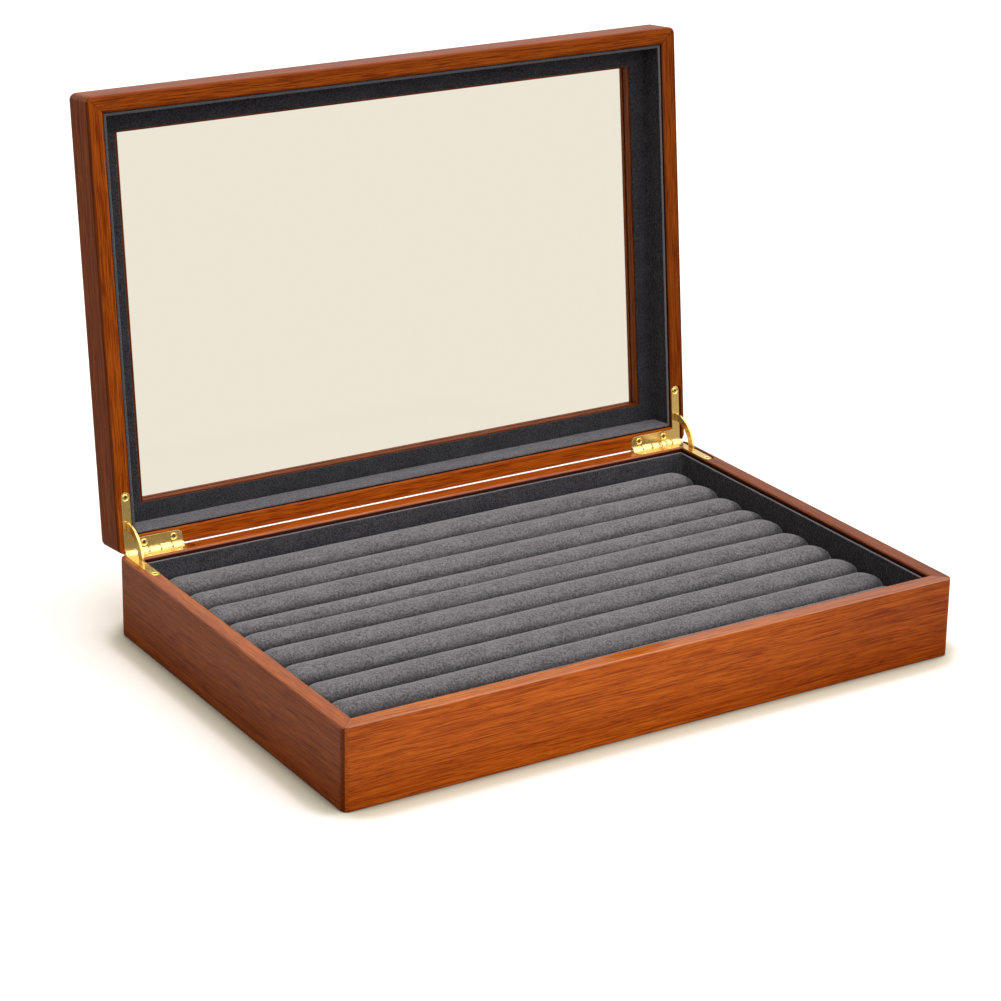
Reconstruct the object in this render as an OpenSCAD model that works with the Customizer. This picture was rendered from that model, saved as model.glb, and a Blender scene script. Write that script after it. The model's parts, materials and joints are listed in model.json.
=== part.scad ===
// Ring display box: a mitred tray of padded ring rolls under a glazed lid,
// joined by two brass quadrant hinges whose curved stays slide in their leaves.
// The origin is the centre of the underside, with +X to the right, +Y to the back and +Z up.
// The lid stands open at the stops of its stays, which is the position of rest.

/* [Box] */
// Outside width of the box
box_w = 300; // [220:5:380]
// Outside depth of the box
box_d = 200; // [160:5:240]
// Thickness of the wall boards and of the lid rails
wall_t = 7.5; // [7:0.5:10]
// Radius of the upright outside corners
corner_r = 3; // [3:0.5:5]
// Rounding of the outside arrises
arris_r = 0.8; // [0.3:0.1:1.2]
// Rounding of the two back arrises that meet when the lid is open
back_arris_r = 0.4; // [0.3:0.1:1.2]
// Rounding of the inside arrises along the rims
rim_arris_r = 1; // [0.3:0.1:1.4]

/* [Base] */
// Height of the base walls
base_h = 36.2; // [32:0.2:50]
// Thickness of the bottom panel
bottom_t = 4; // [3:0.5:6]
// Width of the rebate that takes the bottom panel
bottom_rebate = 3.5; // [2:0.5:4]

/* [Lid] */
// Height of the lid rails
lid_h = 19.4; // [18:0.2:26]
// Rounding along the top outside edges of the lid
lid_top_r = 3; // [1:0.5:3]
// Angle at which the stays stop the lid
open_angle = 95.8; // [85:0.2:100]

/* [Window] */
// Thickness of the mitred frame round the window
frame_t = 6; // [5.2:0.2:8]
// Distance from the box side to the window at the left and right
window_side = 19.2; // [17:0.2:30]
// Distance from the box side to the window at the front and back
window_end = 18.6; // [17:0.2:30]
// Thickness of the lip that the glass lies on
lip_t = 1.8; // [1:0.2:2.2]
// Thickness of the glass
glass_t = 2; // [1.6:0.2:2.4]
// Width of the rebate that takes the glass and its beads
rebate_w = 5; // [3:0.5:6]
// Rounding of the edge of the beads
bead_r = 0.5; // [0.2:0.1:0.8]
// Width of bead left bare by the fabric border
bead_show = 1.5; // [0.5:0.25:2.5]

/* [Linings] */
// Thickness of the fabric-covered lining cards
lining_t = 1.4; // [1:0.1:2.5]
// Rounding of the edges of the linings
lining_r = 0.5; // [0.2:0.05:0.5]
// Distance from the base rim down to its linings
base_lining_drop = 2; // [1:0.5:5]
// Distance from the lid rim in to its linings
lid_lining_drop = 1; // [0.5:0.25:4]
// Thickness of the fabric border round the window
border_t = 0.8; // [0.6:0.1:1.6]

/* [Ring rolls] */
// Number of ring rolls
roll_count = 10; // [9:1:13]
// Distance from the base rim down to the tops of the rolls
roll_drop = 7.2; // [5:0.2:9]
// Rounding of the roll ends
roll_end_r = 7.5; // [2:0.5:7.5]

/* [Hinge leaves] */
// Distance from the back face out to the hinge axis
axis_out = 0.2; // [0.2:0.1:1]
// Thickness of a hinge leaf
leaf_t = 1.4; // [1.1:0.1:1.6]
// Length of a leaf along the back
leaf_w = 28; // [25:1:36]
// Length of a leaf along the side, from the hinge axis
arm_l = 27.6; // [22:0.2:34]
// Distance from the box side to a leaf
leaf_inset = 2.9; // [2:0.1:3.2]
// Wood left between the side arm of a leaf and the inside of the box
arm_edge = 0.4; // [0.3:0.1:0.8]
// Wood left between the back arm of a leaf and the inside of the box
back_edge = 1.2; // [0.4:0.1:1.6]
// Radius of the corner at the end of the back arm
leaf_corner_r = 3; // [1:0.5:3.5]
// Number of knuckles on a barrel, which the two leaves share
knuckle_count = 5; // [3:2:7]
// Outside radius of the barrel
barrel_r = 1.5; // [1.4:0.1:1.8]
// Radius of the hinge pin
pin_r = 0.65; // [0.5:0.05:0.8]

/* [Stays] */
// Mean radius of a curved stay about the hinge axis
stay_r = 12.5; // [11:0.5:14]
// Width of the stay strip
stay_w = 3.5; // [2.5:0.1:3.8]
// Thickness of the stay strip
stay_t = 1; // [0.8:0.1:1.2]
// Radius of the cross pins that stop a stay
stop_r = 1; // [0.8:0.1:1.2]
// Length of the cross pins
stop_l = 2; // [1.8:0.1:2.2]

/* [Screws] */
// Diameter of the countersunk screw heads
screw_head_d = 3.2; // [2.6:0.1:3.4]
// Diameter of the screw shanks
screw_d = 1.6; // [1.2:0.1:1.8]
// Length of the screws
screw_l = 8; // [5:0.5:10]
// Distance from the end of a back arm to its outer screw
screw_end = 4.3; // [3:0.1:6]
// Distance between the two screws in a back arm
screw_pitch = 14.2; // [8:0.2:15]

/* [Clearances] */
// Gap between the two rims when the lid is shut
rim_gap = 0.2; // [0.1:0.05:0.5]
// Gap round soft pieces such as the linings and rolls
soft_gap = 0.3; // [0.2:0.05:0.4]
// Gap round the bottom panel and the glass
panel_gap = 0.3; // [0.1:0.05:0.5]
// Radial clearance of the pin in the knuckles
pin_gap = 0.05; // [0.02:0.01:0.09]
// Gap between neighbouring knuckles
knuckle_gap = 0.1; // [0.05:0.05:0.3]
// Gap between a leaf and its recess, and round the barrel
leaf_gap = 0.1; // [0.05:0.05:0.2]
// Gap between a stay and its slots
slot_gap = 0.15; // [0.1:0.05:0.3]
// Gap round a stay and its stops in their pockets
pocket_gap = 0.2; // [0.1:0.05:0.3]
// Gap between a screw and its hole
screw_gap = 0.05; // [0.02:0.01:0.1]
// Angle left between a stop and the leaf that catches it
stop_play = 0.5; // [0.3:0.1:2]
// Extra width of the right-hand recesses on the outer side
recess_slack = 1.3; // [0:0.1:1.5]
// Extra length of the left base recess, past the end of the leaf
recess_overrun = 4; // [0:0.5:8]
// Width of that extra length
overrun_w = 4; // [2:0.5:5]

/* [Hidden] */
$fn = 48;
eps = 0.01;
FRONT = 0;
BACK = 2;
LEFT = 3;
SIDES = ["front", "right", "back", "left"];
HANDS = ["left", "right"];

// Insets from the outside are [at the left and right, at the front and back]
wall_in = [wall_t, wall_t];
lining_in = wall_in + [soft_gap, soft_gap];
hollow_in = lining_in + [lining_t, lining_t];
border_in = hollow_in + [soft_gap, soft_gap];
window_in = [window_side, window_end];
border_out = window_in - [bead_show, bead_show];
rebate_in = window_in - [rebate_w, rebate_w];
glass_in = rebate_in + [panel_gap, panel_gap];

// Heights in the lid, measured from its rim
frame_z = lid_h - frame_t;
lip_z = lid_h - lip_t;
glass_z = lip_z - glass_t;
border_z = frame_z - border_t;

// Rolls, which lie side by side on their bed
tray_w = box_w - 2 * hollow_in[0];
tray_d = box_d - 2 * hollow_in[1];
roll_pitch = (tray_d - soft_gap) / roll_count;
roll_r = (roll_pitch - soft_gap) / 2;
roll_l = tray_w - 2 * soft_gap;
roll_z = base_h - roll_drop - roll_r;
bed_top = roll_z - roll_r - soft_gap;

// Hinges: seen from their axis, a leaf lies in the depths seat_z to face_z
axis_y = box_d / 2 + axis_out;
axis_z = base_h + rim_gap / 2;
face_z = -rim_gap / 2;
seat_z = face_z - leaf_t;
arm_w = wall_t - leaf_inset - arm_edge;
back_arm = wall_t + axis_out - back_edge;
plate_end = barrel_r + leaf_gap;
knuckle_l = leaf_w / knuckle_count;
arm_x = leaf_inset + arm_w / 2;
arm_end = arm_l - arm_w / 2;
leaf_end = leaf_inset + leaf_w;
screw_row = (back_arm + plate_end) / 2;
screw_spots = [
    [leaf_end - screw_end, -screw_row],
    [leaf_end - screw_end - screw_pitch, -screw_row],
    [arm_x, -arm_end]
];

// Stays: at either end a stop catches under a leaf when the lid is open
stay_in = stay_r - stay_w / 2;
stay_out = stay_r + stay_w / 2;
stay_tuck = asin((stop_r - seat_z) / stay_r) + stop_play;
stay_tip = asin(stay_w / 2 / stay_r);
pocket_turn = stay_tuck + open_angle / 2 + stay_tip + stop_play;

// ---- Placing ----

// Turns what is drawn at the front to another side.
module at_side(side) {
    rotate([0, 0, 90 * side]) children();
}

// Opens what is drawn for the shut lid.
module opened() {
    translate([0, axis_y, axis_z]) rotate([-open_angle, 0, 0]) translate([0, -axis_y, -axis_z])
        children();
}

// Opens what is drawn from the rim of the shut lid upwards.
module on_lid() {
    opened() translate([0, 0, base_h + rim_gap]) children();
}

// Places a hinge piece: x runs in from the side of the box, y and z from the hinge axis.
module at_hinge(hand) {
    mirror([hand == "right" ? 1 : 0, 0, 0]) translate([-box_w / 2, axis_y, axis_z]) children();
}

// Turns a base piece of a hinge over to its place in the shut lid.
module turned_over() {
    mirror([0, 0, 1]) children();
}

// ---- Boards and strips ----

// The whole length of a side, and its distance from the middle of the box.
function span(side) = side % 2 == 0 ? box_w : box_d;
function reach(side) = span(side + 1) / 2;

// The rounding of the outside arris of a board where base and lid meet.
function meeting_r(side) = side == BACK ? back_arris_r : arris_r;

// The inset that applies to a side itself, and the one at its ends.
function own(inset, side) = inset[1 - side % 2];
function ends(inset, side) = inset[side % 2];

// One of four mitred strips between an outer and an inner inset.
module strip(side, outer, inner, height) {
    at_side(side)
        linear_extrude(height)
            polygon([
                [ends(outer, side) - span(side) / 2, own(outer, side) - reach(side)],
                [span(side) / 2 - ends(outer, side), own(outer, side) - reach(side)],
                [span(side) / 2 - ends(inner, side), own(inner, side) - reach(side)],
                [ends(inner, side) - span(side) / 2, own(inner, side) - reach(side)]
            ]);
}

// A mitred strip with a profile: x runs in from the outside of the box, y upwards.
module moulding(side, outer, inner, height) {
    intersection() {
        strip(side, outer, inner, height);
        at_side(side)
            translate([0, -reach(side), 0]) rotate([90, 0, 90])
                linear_extrude(span(side), center = true) children();
    }
}

// A mitred board of the box itself, less what is cut out of its section. Its arrises,
// given as [foot, head], also run round its upright corners.
module board(side, height, arrises) {
    intersection() {
        moulding(side, [0, 0], wall_in, height)
            difference() {
                outside(wall_t, height, arrises);
                children();
            }
        block(height, arrises);
    }
}

// A section of the outside: x runs in from it, y upwards.
module outside(depth, height, arrises) {
    difference() {
        square([depth, height]);
        rounding([0, 0], [1, 1], arrises[0]);
        rounding([0, height], [1, -1], arrises[1]);
    }
}

// A block with the plan of the box, whose upright corners are turned to the same section.
module block(height, arrises) {
    linear_extrude(height) square([box_w, box_d - 2 * corner_r], center = true);
    linear_extrude(height) square([box_w - 2 * corner_r, box_d], center = true);
    for (x = [-1, 1], y = [-1, 1])
        translate([x * (box_w / 2 - corner_r), y * (box_d / 2 - corner_r), 0])
            rotate_extrude()
                translate([corner_r, 0]) mirror([1, 0]) outside(corner_r, height, arrises);
}

// A flat sheet, centred, with its edges at an inset.
module sheet(inset, height) {
    linear_extrude(height) square([box_w - 2 * inset[0], box_d - 2 * inset[1]], center = true);
}

// What is cut away to round a corner of a profile. The signs point from the corner inwards.
module rounding(corner, inwards, r) {
    translate(corner)
        mirror([inwards[0] < 0 ? 1 : 0, 0])
            mirror([0, inwards[1] < 0 ? 1 : 0])
                difference() {
                    translate([-eps, -eps]) square(r + eps);
                    translate([r, r]) circle(r);
                }
}

// ---- Hinge cuts in the wood ----

// A leaf from above, up to a line behind it, with room added all round.
module leaf_outline(room, behind) {
    translate([leaf_inset - room, -arm_end]) square([arm_w + 2 * room, arm_end - behind]);
    translate([arm_x, -arm_end]) circle(arm_w / 2 + room);
    difference() {
        translate([leaf_inset - room, -back_arm - room])
            square([leaf_w + 2 * room, back_arm + room - behind]);
        rounding([leaf_end + room, -back_arm - room], [-1, 1], leaf_corner_r);
    }
}

// The outer side of the right-hand recesses, cut wider than the leaf.
module slack_outline() {
    translate([leaf_inset - recess_slack, -arm_end]) square([arm_w, arm_end]);
    translate([arm_x - recess_slack, -arm_end]) circle(arm_w / 2);
    translate([arm_x - recess_slack, -arm_end - arm_w / 2]) square([recess_slack, arm_w]);
}

// The end of the left base recess, which runs on past the leaf.
module overrun_outline() {
    middle = -(back_arm + axis_out) / 2;
    translate([leaf_end - overrun_w, middle - overrun_w / 2])
        square([recess_overrun + overrun_w / 2, overrun_w]);
    translate([leaf_end + recess_overrun - overrun_w / 2, middle]) circle(overrun_w / 2);
}

// A ring about the hinge axis between two angles; 180 degrees is straight towards the front.
module arc(r_in, r_out, from, to) {
    steps = 3;
    intersection() {
        difference() {
            circle(r_out);
            circle(r_in);
        }
        polygon(concat(
            [[0, 0]],
            [for (i = [0:steps]) 2 * r_out * heading(from + i * (to - from) / steps)]
        ));
    }
}

function heading(angle) = [cos(angle), sin(angle)];

// Stands an outline in y and z upright and gives it a thickness in x.
module upright(x, thickness) {
    translate([x, 0, 0]) rotate([90, 0, 90]) linear_extrude(thickness, center = true) children();
}

// A screw or its hole, with the top of its head on the face of a leaf.
module screw_at(spot, room) {
    head_h = (screw_head_d - screw_d) / 2;
    translate([spot[0], spot[1], face_z]) {
        translate([0, 0, -head_h])
            cylinder(r1 = screw_d / 2 + room, r2 = screw_head_d / 2 + room, h = head_h);
        translate([0, 0, screw_d - screw_l])
            cylinder(r = screw_d / 2 + room, h = screw_l - screw_d - head_h / 2);
        translate([0, 0, -screw_l - room])
            cylinder(r1 = room, r2 = screw_d / 2 + room, h = screw_d + room);
    }
}

// All that one hinge needs cut in the base, or turned over, in the lid.
module hinge_cuts(slack, overrun) {
    translate([0, 0, seat_z])
        linear_extrude(-seat_z) {
            leaf_outline(leaf_gap, 0);
            if (slack) slack_outline();
            if (overrun) overrun_outline();
        }
    translate([leaf_inset - leaf_gap, 0, 0]) rotate([0, 90, 0])
        cylinder(r = plate_end, h = leaf_w + 2 * leaf_gap);
    upright(arm_x, stop_l + 2 * pocket_gap)
        arc(stay_in - pocket_gap, stay_out + pocket_gap, 180 - stop_play, 180 + pocket_turn);
    for (spot = screw_spots) screw_at(spot, screw_gap);
}

module base_hinge_cuts() {
    at_hinge("left") hinge_cuts(false, true);
    at_hinge("right") hinge_cuts(true, false);
}

module lid_hinge_cuts() {
    at_hinge("left") turned_over() hinge_cuts(false, false);
    at_hinge("right") turned_over() hinge_cuts(true, false);
}

// ---- Base ----

module base_wall(side) {
    color("sienna")
        difference() {
            board(side, base_h, [arris_r, meeting_r(side)]) {
                rounding([wall_t, base_h], [-1, -1], rim_arris_r);
                translate([wall_t - bottom_rebate, -eps])
                    square([bottom_rebate + eps, bottom_t + eps]);
            }
            if (side != FRONT) base_hinge_cuts();
        }
}

module bottom_panel() {
    edge = wall_t - bottom_rebate + panel_gap;
    color("burlywood") sheet([edge, edge], bottom_t);
}

// A lining card that stands from one height up to a rounded edge at another.
module lining(side, from, to) {
    moulding(side, lining_in, hollow_in, to)
        difference() {
            translate([own(lining_in, side), from]) square([lining_t, to - from]);
            rounding([own(lining_in, side), to], [1, -1], lining_r);
            rounding([own(hollow_in, side), to], [-1, -1], lining_r);
        }
}

module base_lining(side) {
    color("dimgray") lining(side, bottom_t, base_h - base_lining_drop);
}

module roll_bed() {
    color("gray") translate([0, 0, bottom_t]) sheet(border_in, bed_top - bottom_t);
}

// A padded roll with rounded ends, numbered from the back.
module ring_roll(number) {
    end_r = min(roll_end_r, roll_r);
    color("slategray")
        translate([0, ((roll_count + 1) / 2 - number) * roll_pitch, roll_z]) rotate([0, 90, 0])
            rotate_extrude()
                difference() {
                    translate([0, -roll_l / 2]) square([roll_r, roll_l]);
                    rounding([roll_r, -roll_l / 2], [-1, 1], end_r);
                    rounding([roll_r, roll_l / 2], [-1, -1], end_r);
                }
}

// ---- Lid ----

module lid_rail(side) {
    color("sienna")
        opened()
            difference() {
                translate([0, 0, base_h + rim_gap])
                    board(side, lid_h, [meeting_r(side), lid_top_r])
                        rounding([wall_t, 0], [-1, 1], rim_arris_r);
                if (side != FRONT) lid_hinge_cuts();
            }
}

module window_frame(side) {
    color("peru")
        on_lid()
            difference() {
                translate([0, 0, frame_z]) strip(side, wall_in, window_in, frame_t);
                translate([0, 0, frame_z - eps]) sheet(rebate_in, lip_z - frame_z + eps);
            }
}

module window_glass() {
    color("white", 0.3) on_lid() translate([0, 0, glass_z]) sheet(glass_in, glass_t);
}

module glazing_bead(side) {
    color("chocolate")
        on_lid()
            translate([0, 0, frame_z])
                moulding(side, rebate_in, window_in, glass_z - frame_z)
                    difference() {
                        translate([own(rebate_in, side), 0]) square([rebate_w, glass_z - frame_z]);
                        rounding([own(window_in, side), 0], [-1, 1], bead_r);
                    }
}

module lid_border() {
    color("dimgray")
        on_lid()
            translate([0, 0, border_z])
                difference() {
                    sheet(border_in, border_t);
                    translate([0, 0, -eps]) sheet(border_out, border_t + 2 * eps);
                }
}

module lid_lining(side) {
    color("dimgray")
        on_lid()
            translate([0, 0, frame_z]) mirror([0, 0, 1]) lining(side, 0, frame_z - lid_lining_drop);
}

// ---- Hinges ----

// A leaf seen from the base. The first knuckle is 0 for a base leaf and 1 for a lid leaf.
module leaf(first) {
    slot_in = sqrt(stay_in * stay_in - seat_z * seat_z) - slot_gap;
    slot_l = stay_out + slot_gap - slot_in;
    color("goldenrod")
        difference() {
            union() {
                translate([0, 0, seat_z]) linear_extrude(leaf_t) leaf_outline(0, plate_end);
                for (i = [first:2:knuckle_count - 1]) knuckle(leaf_inset + i * knuckle_l);
            }
            rotate([0, 90, 0]) cylinder(r = pin_r + pin_gap, h = leaf_end + eps);
            translate([arm_x - stay_t / 2 - slot_gap, -slot_in - slot_l, seat_z - eps])
                cube([stay_t + 2 * slot_gap, slot_l, leaf_t + 2 * eps]);
            for (spot = screw_spots) screw_at(spot, screw_gap);
        }
}

// A knuckle with the tongue that joins it to its plate.
module knuckle(x) {
    l = knuckle_l - knuckle_gap;
    translate([x + knuckle_gap / 2, 0, 0]) {
        rotate([0, 90, 0]) cylinder(r = barrel_r, h = l);
        translate([0, -screw_row, seat_z]) cube([l, screw_row, leaf_t]);
    }
}

module base_leaf(hand) {
    at_hinge(hand) leaf(0);
}

module lid_leaf(hand) {
    opened() at_hinge(hand) turned_over() leaf(1);
}

module hinge_pin(hand) {
    color("gold")
        at_hinge(hand)
            translate([leaf_inset, 0, 0]) rotate([0, 90, 0]) cylinder(r = pin_r, h = leaf_w);
}

// A curved stay with a stop at each end, about the hinge axis.
module hinge_stay(hand) {
    color("gold")
        at_hinge(hand) {
            upright(arm_x, stay_t) {
                arc(stay_in, stay_out, 180 - open_angle - stay_tuck, 180 + stay_tuck);
                for (angle = [180 - open_angle - stay_tuck, 180 + stay_tuck])
                    translate(stay_r * heading(angle)) circle(stay_w / 2);
            }
            upright(arm_x, stop_l)
                for (angle = [180 - open_angle - stay_tuck, 180 + stay_tuck])
                    translate(stay_r * heading(angle)) circle(stop_r);
        }
}

module base_screw(hand, number) {
    color("gold") at_hinge(hand) screw_at(screw_spots[number - 1], 0);
}

module lid_screw(hand, number) {
    color("gold") opened() at_hinge(hand) turned_over() screw_at(screw_spots[number - 1], 0);
}

// ---- Drawing ----

for (side = [FRONT:LEFT]) {
    base_wall(side);
    base_lining(side);
    lid_rail(side);
    window_frame(side);
    glazing_bead(side);
    lid_lining(side);
}
bottom_panel();
roll_bed();
for (number = [1:roll_count])
    ring_roll(number);
window_glass();
lid_border();
for (hand = HANDS) {
    base_leaf(hand);
    lid_leaf(hand);
    hinge_pin(hand);
    hinge_stay(hand);
    for (number = [1:len(screw_spots)]) {
        base_screw(hand, number);
        lid_screw(hand, number);
    }
}
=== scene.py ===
"""Dresses the ring display box: stained wood, velvet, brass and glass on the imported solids."""

from __future__ import annotations

import json
import logging
import math
from dataclasses import dataclass, field, replace
from enum import Enum

import bmesh
import bpy
from mathutils import Matrix, Vector, noise

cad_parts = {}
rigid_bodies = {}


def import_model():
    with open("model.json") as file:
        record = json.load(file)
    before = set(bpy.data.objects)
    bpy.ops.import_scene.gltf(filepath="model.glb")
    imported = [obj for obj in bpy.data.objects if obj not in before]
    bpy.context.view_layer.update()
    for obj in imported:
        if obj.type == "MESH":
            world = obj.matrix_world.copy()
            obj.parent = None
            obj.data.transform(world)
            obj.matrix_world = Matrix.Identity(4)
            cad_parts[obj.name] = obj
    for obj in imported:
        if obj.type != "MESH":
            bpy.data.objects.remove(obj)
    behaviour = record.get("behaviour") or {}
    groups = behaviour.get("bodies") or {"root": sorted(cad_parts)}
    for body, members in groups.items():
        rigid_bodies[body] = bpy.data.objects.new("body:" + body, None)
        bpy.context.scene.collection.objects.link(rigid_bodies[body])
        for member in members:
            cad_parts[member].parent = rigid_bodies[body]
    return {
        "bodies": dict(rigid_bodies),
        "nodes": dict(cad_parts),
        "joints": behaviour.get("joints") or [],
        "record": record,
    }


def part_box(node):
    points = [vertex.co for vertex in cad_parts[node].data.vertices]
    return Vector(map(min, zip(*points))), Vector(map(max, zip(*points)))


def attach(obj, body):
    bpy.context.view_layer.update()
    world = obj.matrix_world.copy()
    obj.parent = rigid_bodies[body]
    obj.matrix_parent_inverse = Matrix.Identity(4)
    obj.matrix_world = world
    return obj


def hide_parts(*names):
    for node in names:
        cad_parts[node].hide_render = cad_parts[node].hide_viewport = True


LOG = logging.getLogger("ring_box")
MM = 0.001
Colour = tuple[float, float, float]
Size = tuple[float, float, float]
Point = tuple[float, float]
Tones = tuple[float, float]


class Side(Enum):
    """The four sides of the box, in order round it."""

    FRONT = "front"
    RIGHT = "right"
    BACK = "back"
    LEFT = "left"

    @property
    def runs_along_x(self) -> bool:
        """Whether boards of this side run from left to right."""
        return self in (Side.FRONT, Side.BACK)


class Hand(Enum):
    """The two hinges."""

    LEFT = "left"
    RIGHT = "right"


class CardShade(Enum):
    """Lit and shaded copies of the cards' velvet, one for each card by how light falls on it."""

    PLAIN = "lining"
    # Painted shade: for the base's side cards and the lid's right card.
    SHADED = "shaded"
    # Painted light: the lit copy for the lid's back card, which faces up.
    BRUSHED = "brushed"
    # Painted shade: for the lid's front and left cards.
    EVEN = "even"
    # Painted shade: for the border round the window.
    BORDER = "border"


# ---------------------------------------------------------------------------
# Shader maths
# ---------------------------------------------------------------------------


class Term:
    """A shader socket that adds Math nodes when it is calculated with."""

    def __init__(self, tree: ShaderTree, socket: bpy.types.NodeSocket) -> None:
        """Wraps a socket.

        Args:
            tree: The tree that the socket belongs to.
            socket: The output to calculate with.
        """
        self.tree = tree
        self.socket = socket

    def _math(self, operation: str, first: Term | float, second: Term | float) -> Term:
        """Adds one Math node.

        Args:
            operation: The node's operation.
            first: Its first value.
            second: Its second value.

        Returns:
            The result.
        """
        return self.tree.term("ShaderNodeMath", {"operation": operation}, {0: first, 1: second})

    def __add__(self, other: Term | float) -> Term:
        """Adds."""
        return self._math("ADD", self, other)

    __radd__ = __add__

    def __sub__(self, other: Term | float) -> Term:
        """Subtracts."""
        return self._math("SUBTRACT", self, other)

    def __rsub__(self, other: Term | float) -> Term:
        """Subtracts from a number."""
        return self._math("SUBTRACT", other, self)

    def __mul__(self, other: Term | float) -> Term:
        """Multiplies."""
        return self._math("MULTIPLY", self, other)

    __rmul__ = __mul__

    def __abs__(self) -> Term:
        """Takes the size without the sign."""
        return self._math("ABSOLUTE", self, 0.0)

    def least(self, other: Term) -> Term:
        """Takes the smaller of two values."""
        return self._math("MINIMUM", self, other)


class ShaderTree:
    """The node tree of one material or of the world."""

    def __init__(self, tree: bpy.types.NodeTree) -> None:
        """Empties a node tree and takes it over.

        Args:
            tree: The tree to fill.
        """
        self.tree = tree
        self.tree.nodes.clear()

    def node(
        self,
        kind: str,
        settings: dict[str, object] | None = None,
        sockets: dict[str | int, object] | None = None,
    ) -> bpy.types.Node:
        """Adds a node.

        Args:
            kind: The node's type.
            settings: Its properties, and a ramp's stops under "stops".
            sockets: Values or links for its inputs.

        Returns:
            The node.
        """
        made = self.tree.nodes.new(kind)
        for name, value in (settings or {}).items():
            if name == "stops":
                self._set_stops(made.color_ramp, value)
            else:
                setattr(made, name, value)
        for key, value in (sockets or {}).items():
            if isinstance(value, Term):
                self.tree.links.new(value.socket, made.inputs[key])
            else:
                made.inputs[key].default_value = value
        return made

    @staticmethod
    def _set_stops(ramp: bpy.types.ColorRamp, stops: list[tuple[float, Colour]]) -> None:
        """Gives a ramp its stops.

        Args:
            ramp: The ramp.
            stops: Positions and colours, in order.
        """
        while len(ramp.elements) < len(stops):
            ramp.elements.new(1.0)
        for element, (position, colour) in zip(ramp.elements, stops):
            element.position = position
            element.color = (*colour, 1.0)

    def term(
        self,
        kind: str,
        settings: dict[str, object] | None = None,
        sockets: dict[str | int, object] | None = None,
        output: str | int = 0,
    ) -> Term:
        """Adds a node and takes one of its outputs.

        Args:
            kind: The node's type.
            settings: Its properties.
            sockets: Values or links for its inputs.
            output: The output to take.

        Returns:
            The output.
        """
        return Term(self, self.node(kind, settings, sockets).outputs[output])

    def parts(self, vector: Term) -> tuple[Term, Term, Term]:
        """Takes a vector apart.

        Args:
            vector: The vector.

        Returns:
            Its three parts.
        """
        made = self.node("ShaderNodeSeparateXYZ", {}, {0: vector})
        x, y, z = (Term(self, socket) for socket in made.outputs)
        return x, y, z

    def noise(self, vector: Term, size: Size, detail: float = 2.0) -> Term:
        """Adds noise with features of a given size.

        Args:
            vector: Where the noise is read, in metres.
            size: The size of its features along each axis, in metres.
            detail: How much finer noise is laid over it.

        Returns:
            A value about 0.5.
        """
        per_metre = tuple(1 / part for part in size)
        place = self.term(
            "ShaderNodeVectorMath", {"operation": "MULTIPLY"}, {0: vector, 1: per_metre}
        )
        sockets = {"Vector": place, "Scale": 1.0, "Detail": detail}
        return self.term("ShaderNodeTexNoise", {}, sockets)

    def step(self, value: Term, low: float, high: float) -> Term:
        """Turns a value into a soft mask.

        Args:
            value: The value.
            low: Where the mask is 0.
            high: Where it is 1, which may lie below low.

        Returns:
            The mask.
        """
        return self.term(
            "ShaderNodeMapRange",
            {"interpolation_type": "SMOOTHSTEP"},
            {"Value": value, "From Min": low, "From Max": high},
        )

    def ramp(self, value: Term, stops: list[tuple[float, Colour]]) -> Term:
        """Turns a value into a colour.

        Args:
            value: The value.
            stops: Positions and colours.

        Returns:
            The colour.
        """
        return self.term("ShaderNodeValToRGB", {"stops": stops}, {"Fac": value})

    def mix(
        self, factor: Term | float, a: Term | Colour, b: Term | Colour, blend: str = "MIX"
    ) -> Term:
        """Mixes two colours.

        Args:
            factor: The share of the second colour.
            a: The first colour.
            b: The second colour.
            blend: How they are mixed.

        Returns:
            The mixed colour.
        """
        a, b = ((*c, 1.0) if isinstance(c, tuple) else c for c in (a, b))
        settings = {"data_type": "RGBA", "blend_type": blend}
        return self.term("ShaderNodeMix", settings, {0: factor, 6: a, 7: b}, 2)

    def bump(self, height: Term, depth: float, strength: float) -> Term:
        """Turns a height into a normal.

        Args:
            height: The height, from 0 to 1.
            depth: What 1 stands for, in metres.
            strength: How much of it is used.

        Returns:
            The normal.
        """
        sockets = {"Height": height, "Distance": depth, "Strength": strength}
        return self.term("ShaderNodeBump", {}, sockets)

    def shader(self, kind: str, colour: Colour) -> Term:
        """Adds a shader of one colour.

        Args:
            kind: The shader node's type.
            colour: Its colour.

        Returns:
            The shader.
        """
        return self.term(kind, {}, {"Color": (*colour, 1.0)})

    def blend(self, factor: Term, first: Term, second: Term) -> Term:
        """Mixes two shaders.

        Args:
            factor: The share of the second shader.
            first: The first shader.
            second: The second shader.

        Returns:
            The mixed shader.
        """
        return self.term("ShaderNodeMixShader", {}, {0: factor, 1: first, 2: second})

    def by_ray(self, lit: Term, seen: Term, mirrored: Term, through: Term) -> Term:
        """Shows the camera, mirrors and glass shaders of their own.

        Args:
            lit: What every other ray meets, and so what lights the object.
            seen: What the camera sees.
            mirrored: What glossy surfaces show.
            through: What glass shows behind it.

        Returns:
            The joined shader.
        """
        path = self.node("ShaderNodeLightPath")
        joined = lit
        shown = {"Is Camera Ray": seen, "Is Glossy Ray": mirrored, "Is Transmission Ray": through}
        for ray, shader in shown.items():
            joined = self.blend(Term(self, path.outputs[ray]), joined, shader)
        return joined


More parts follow.
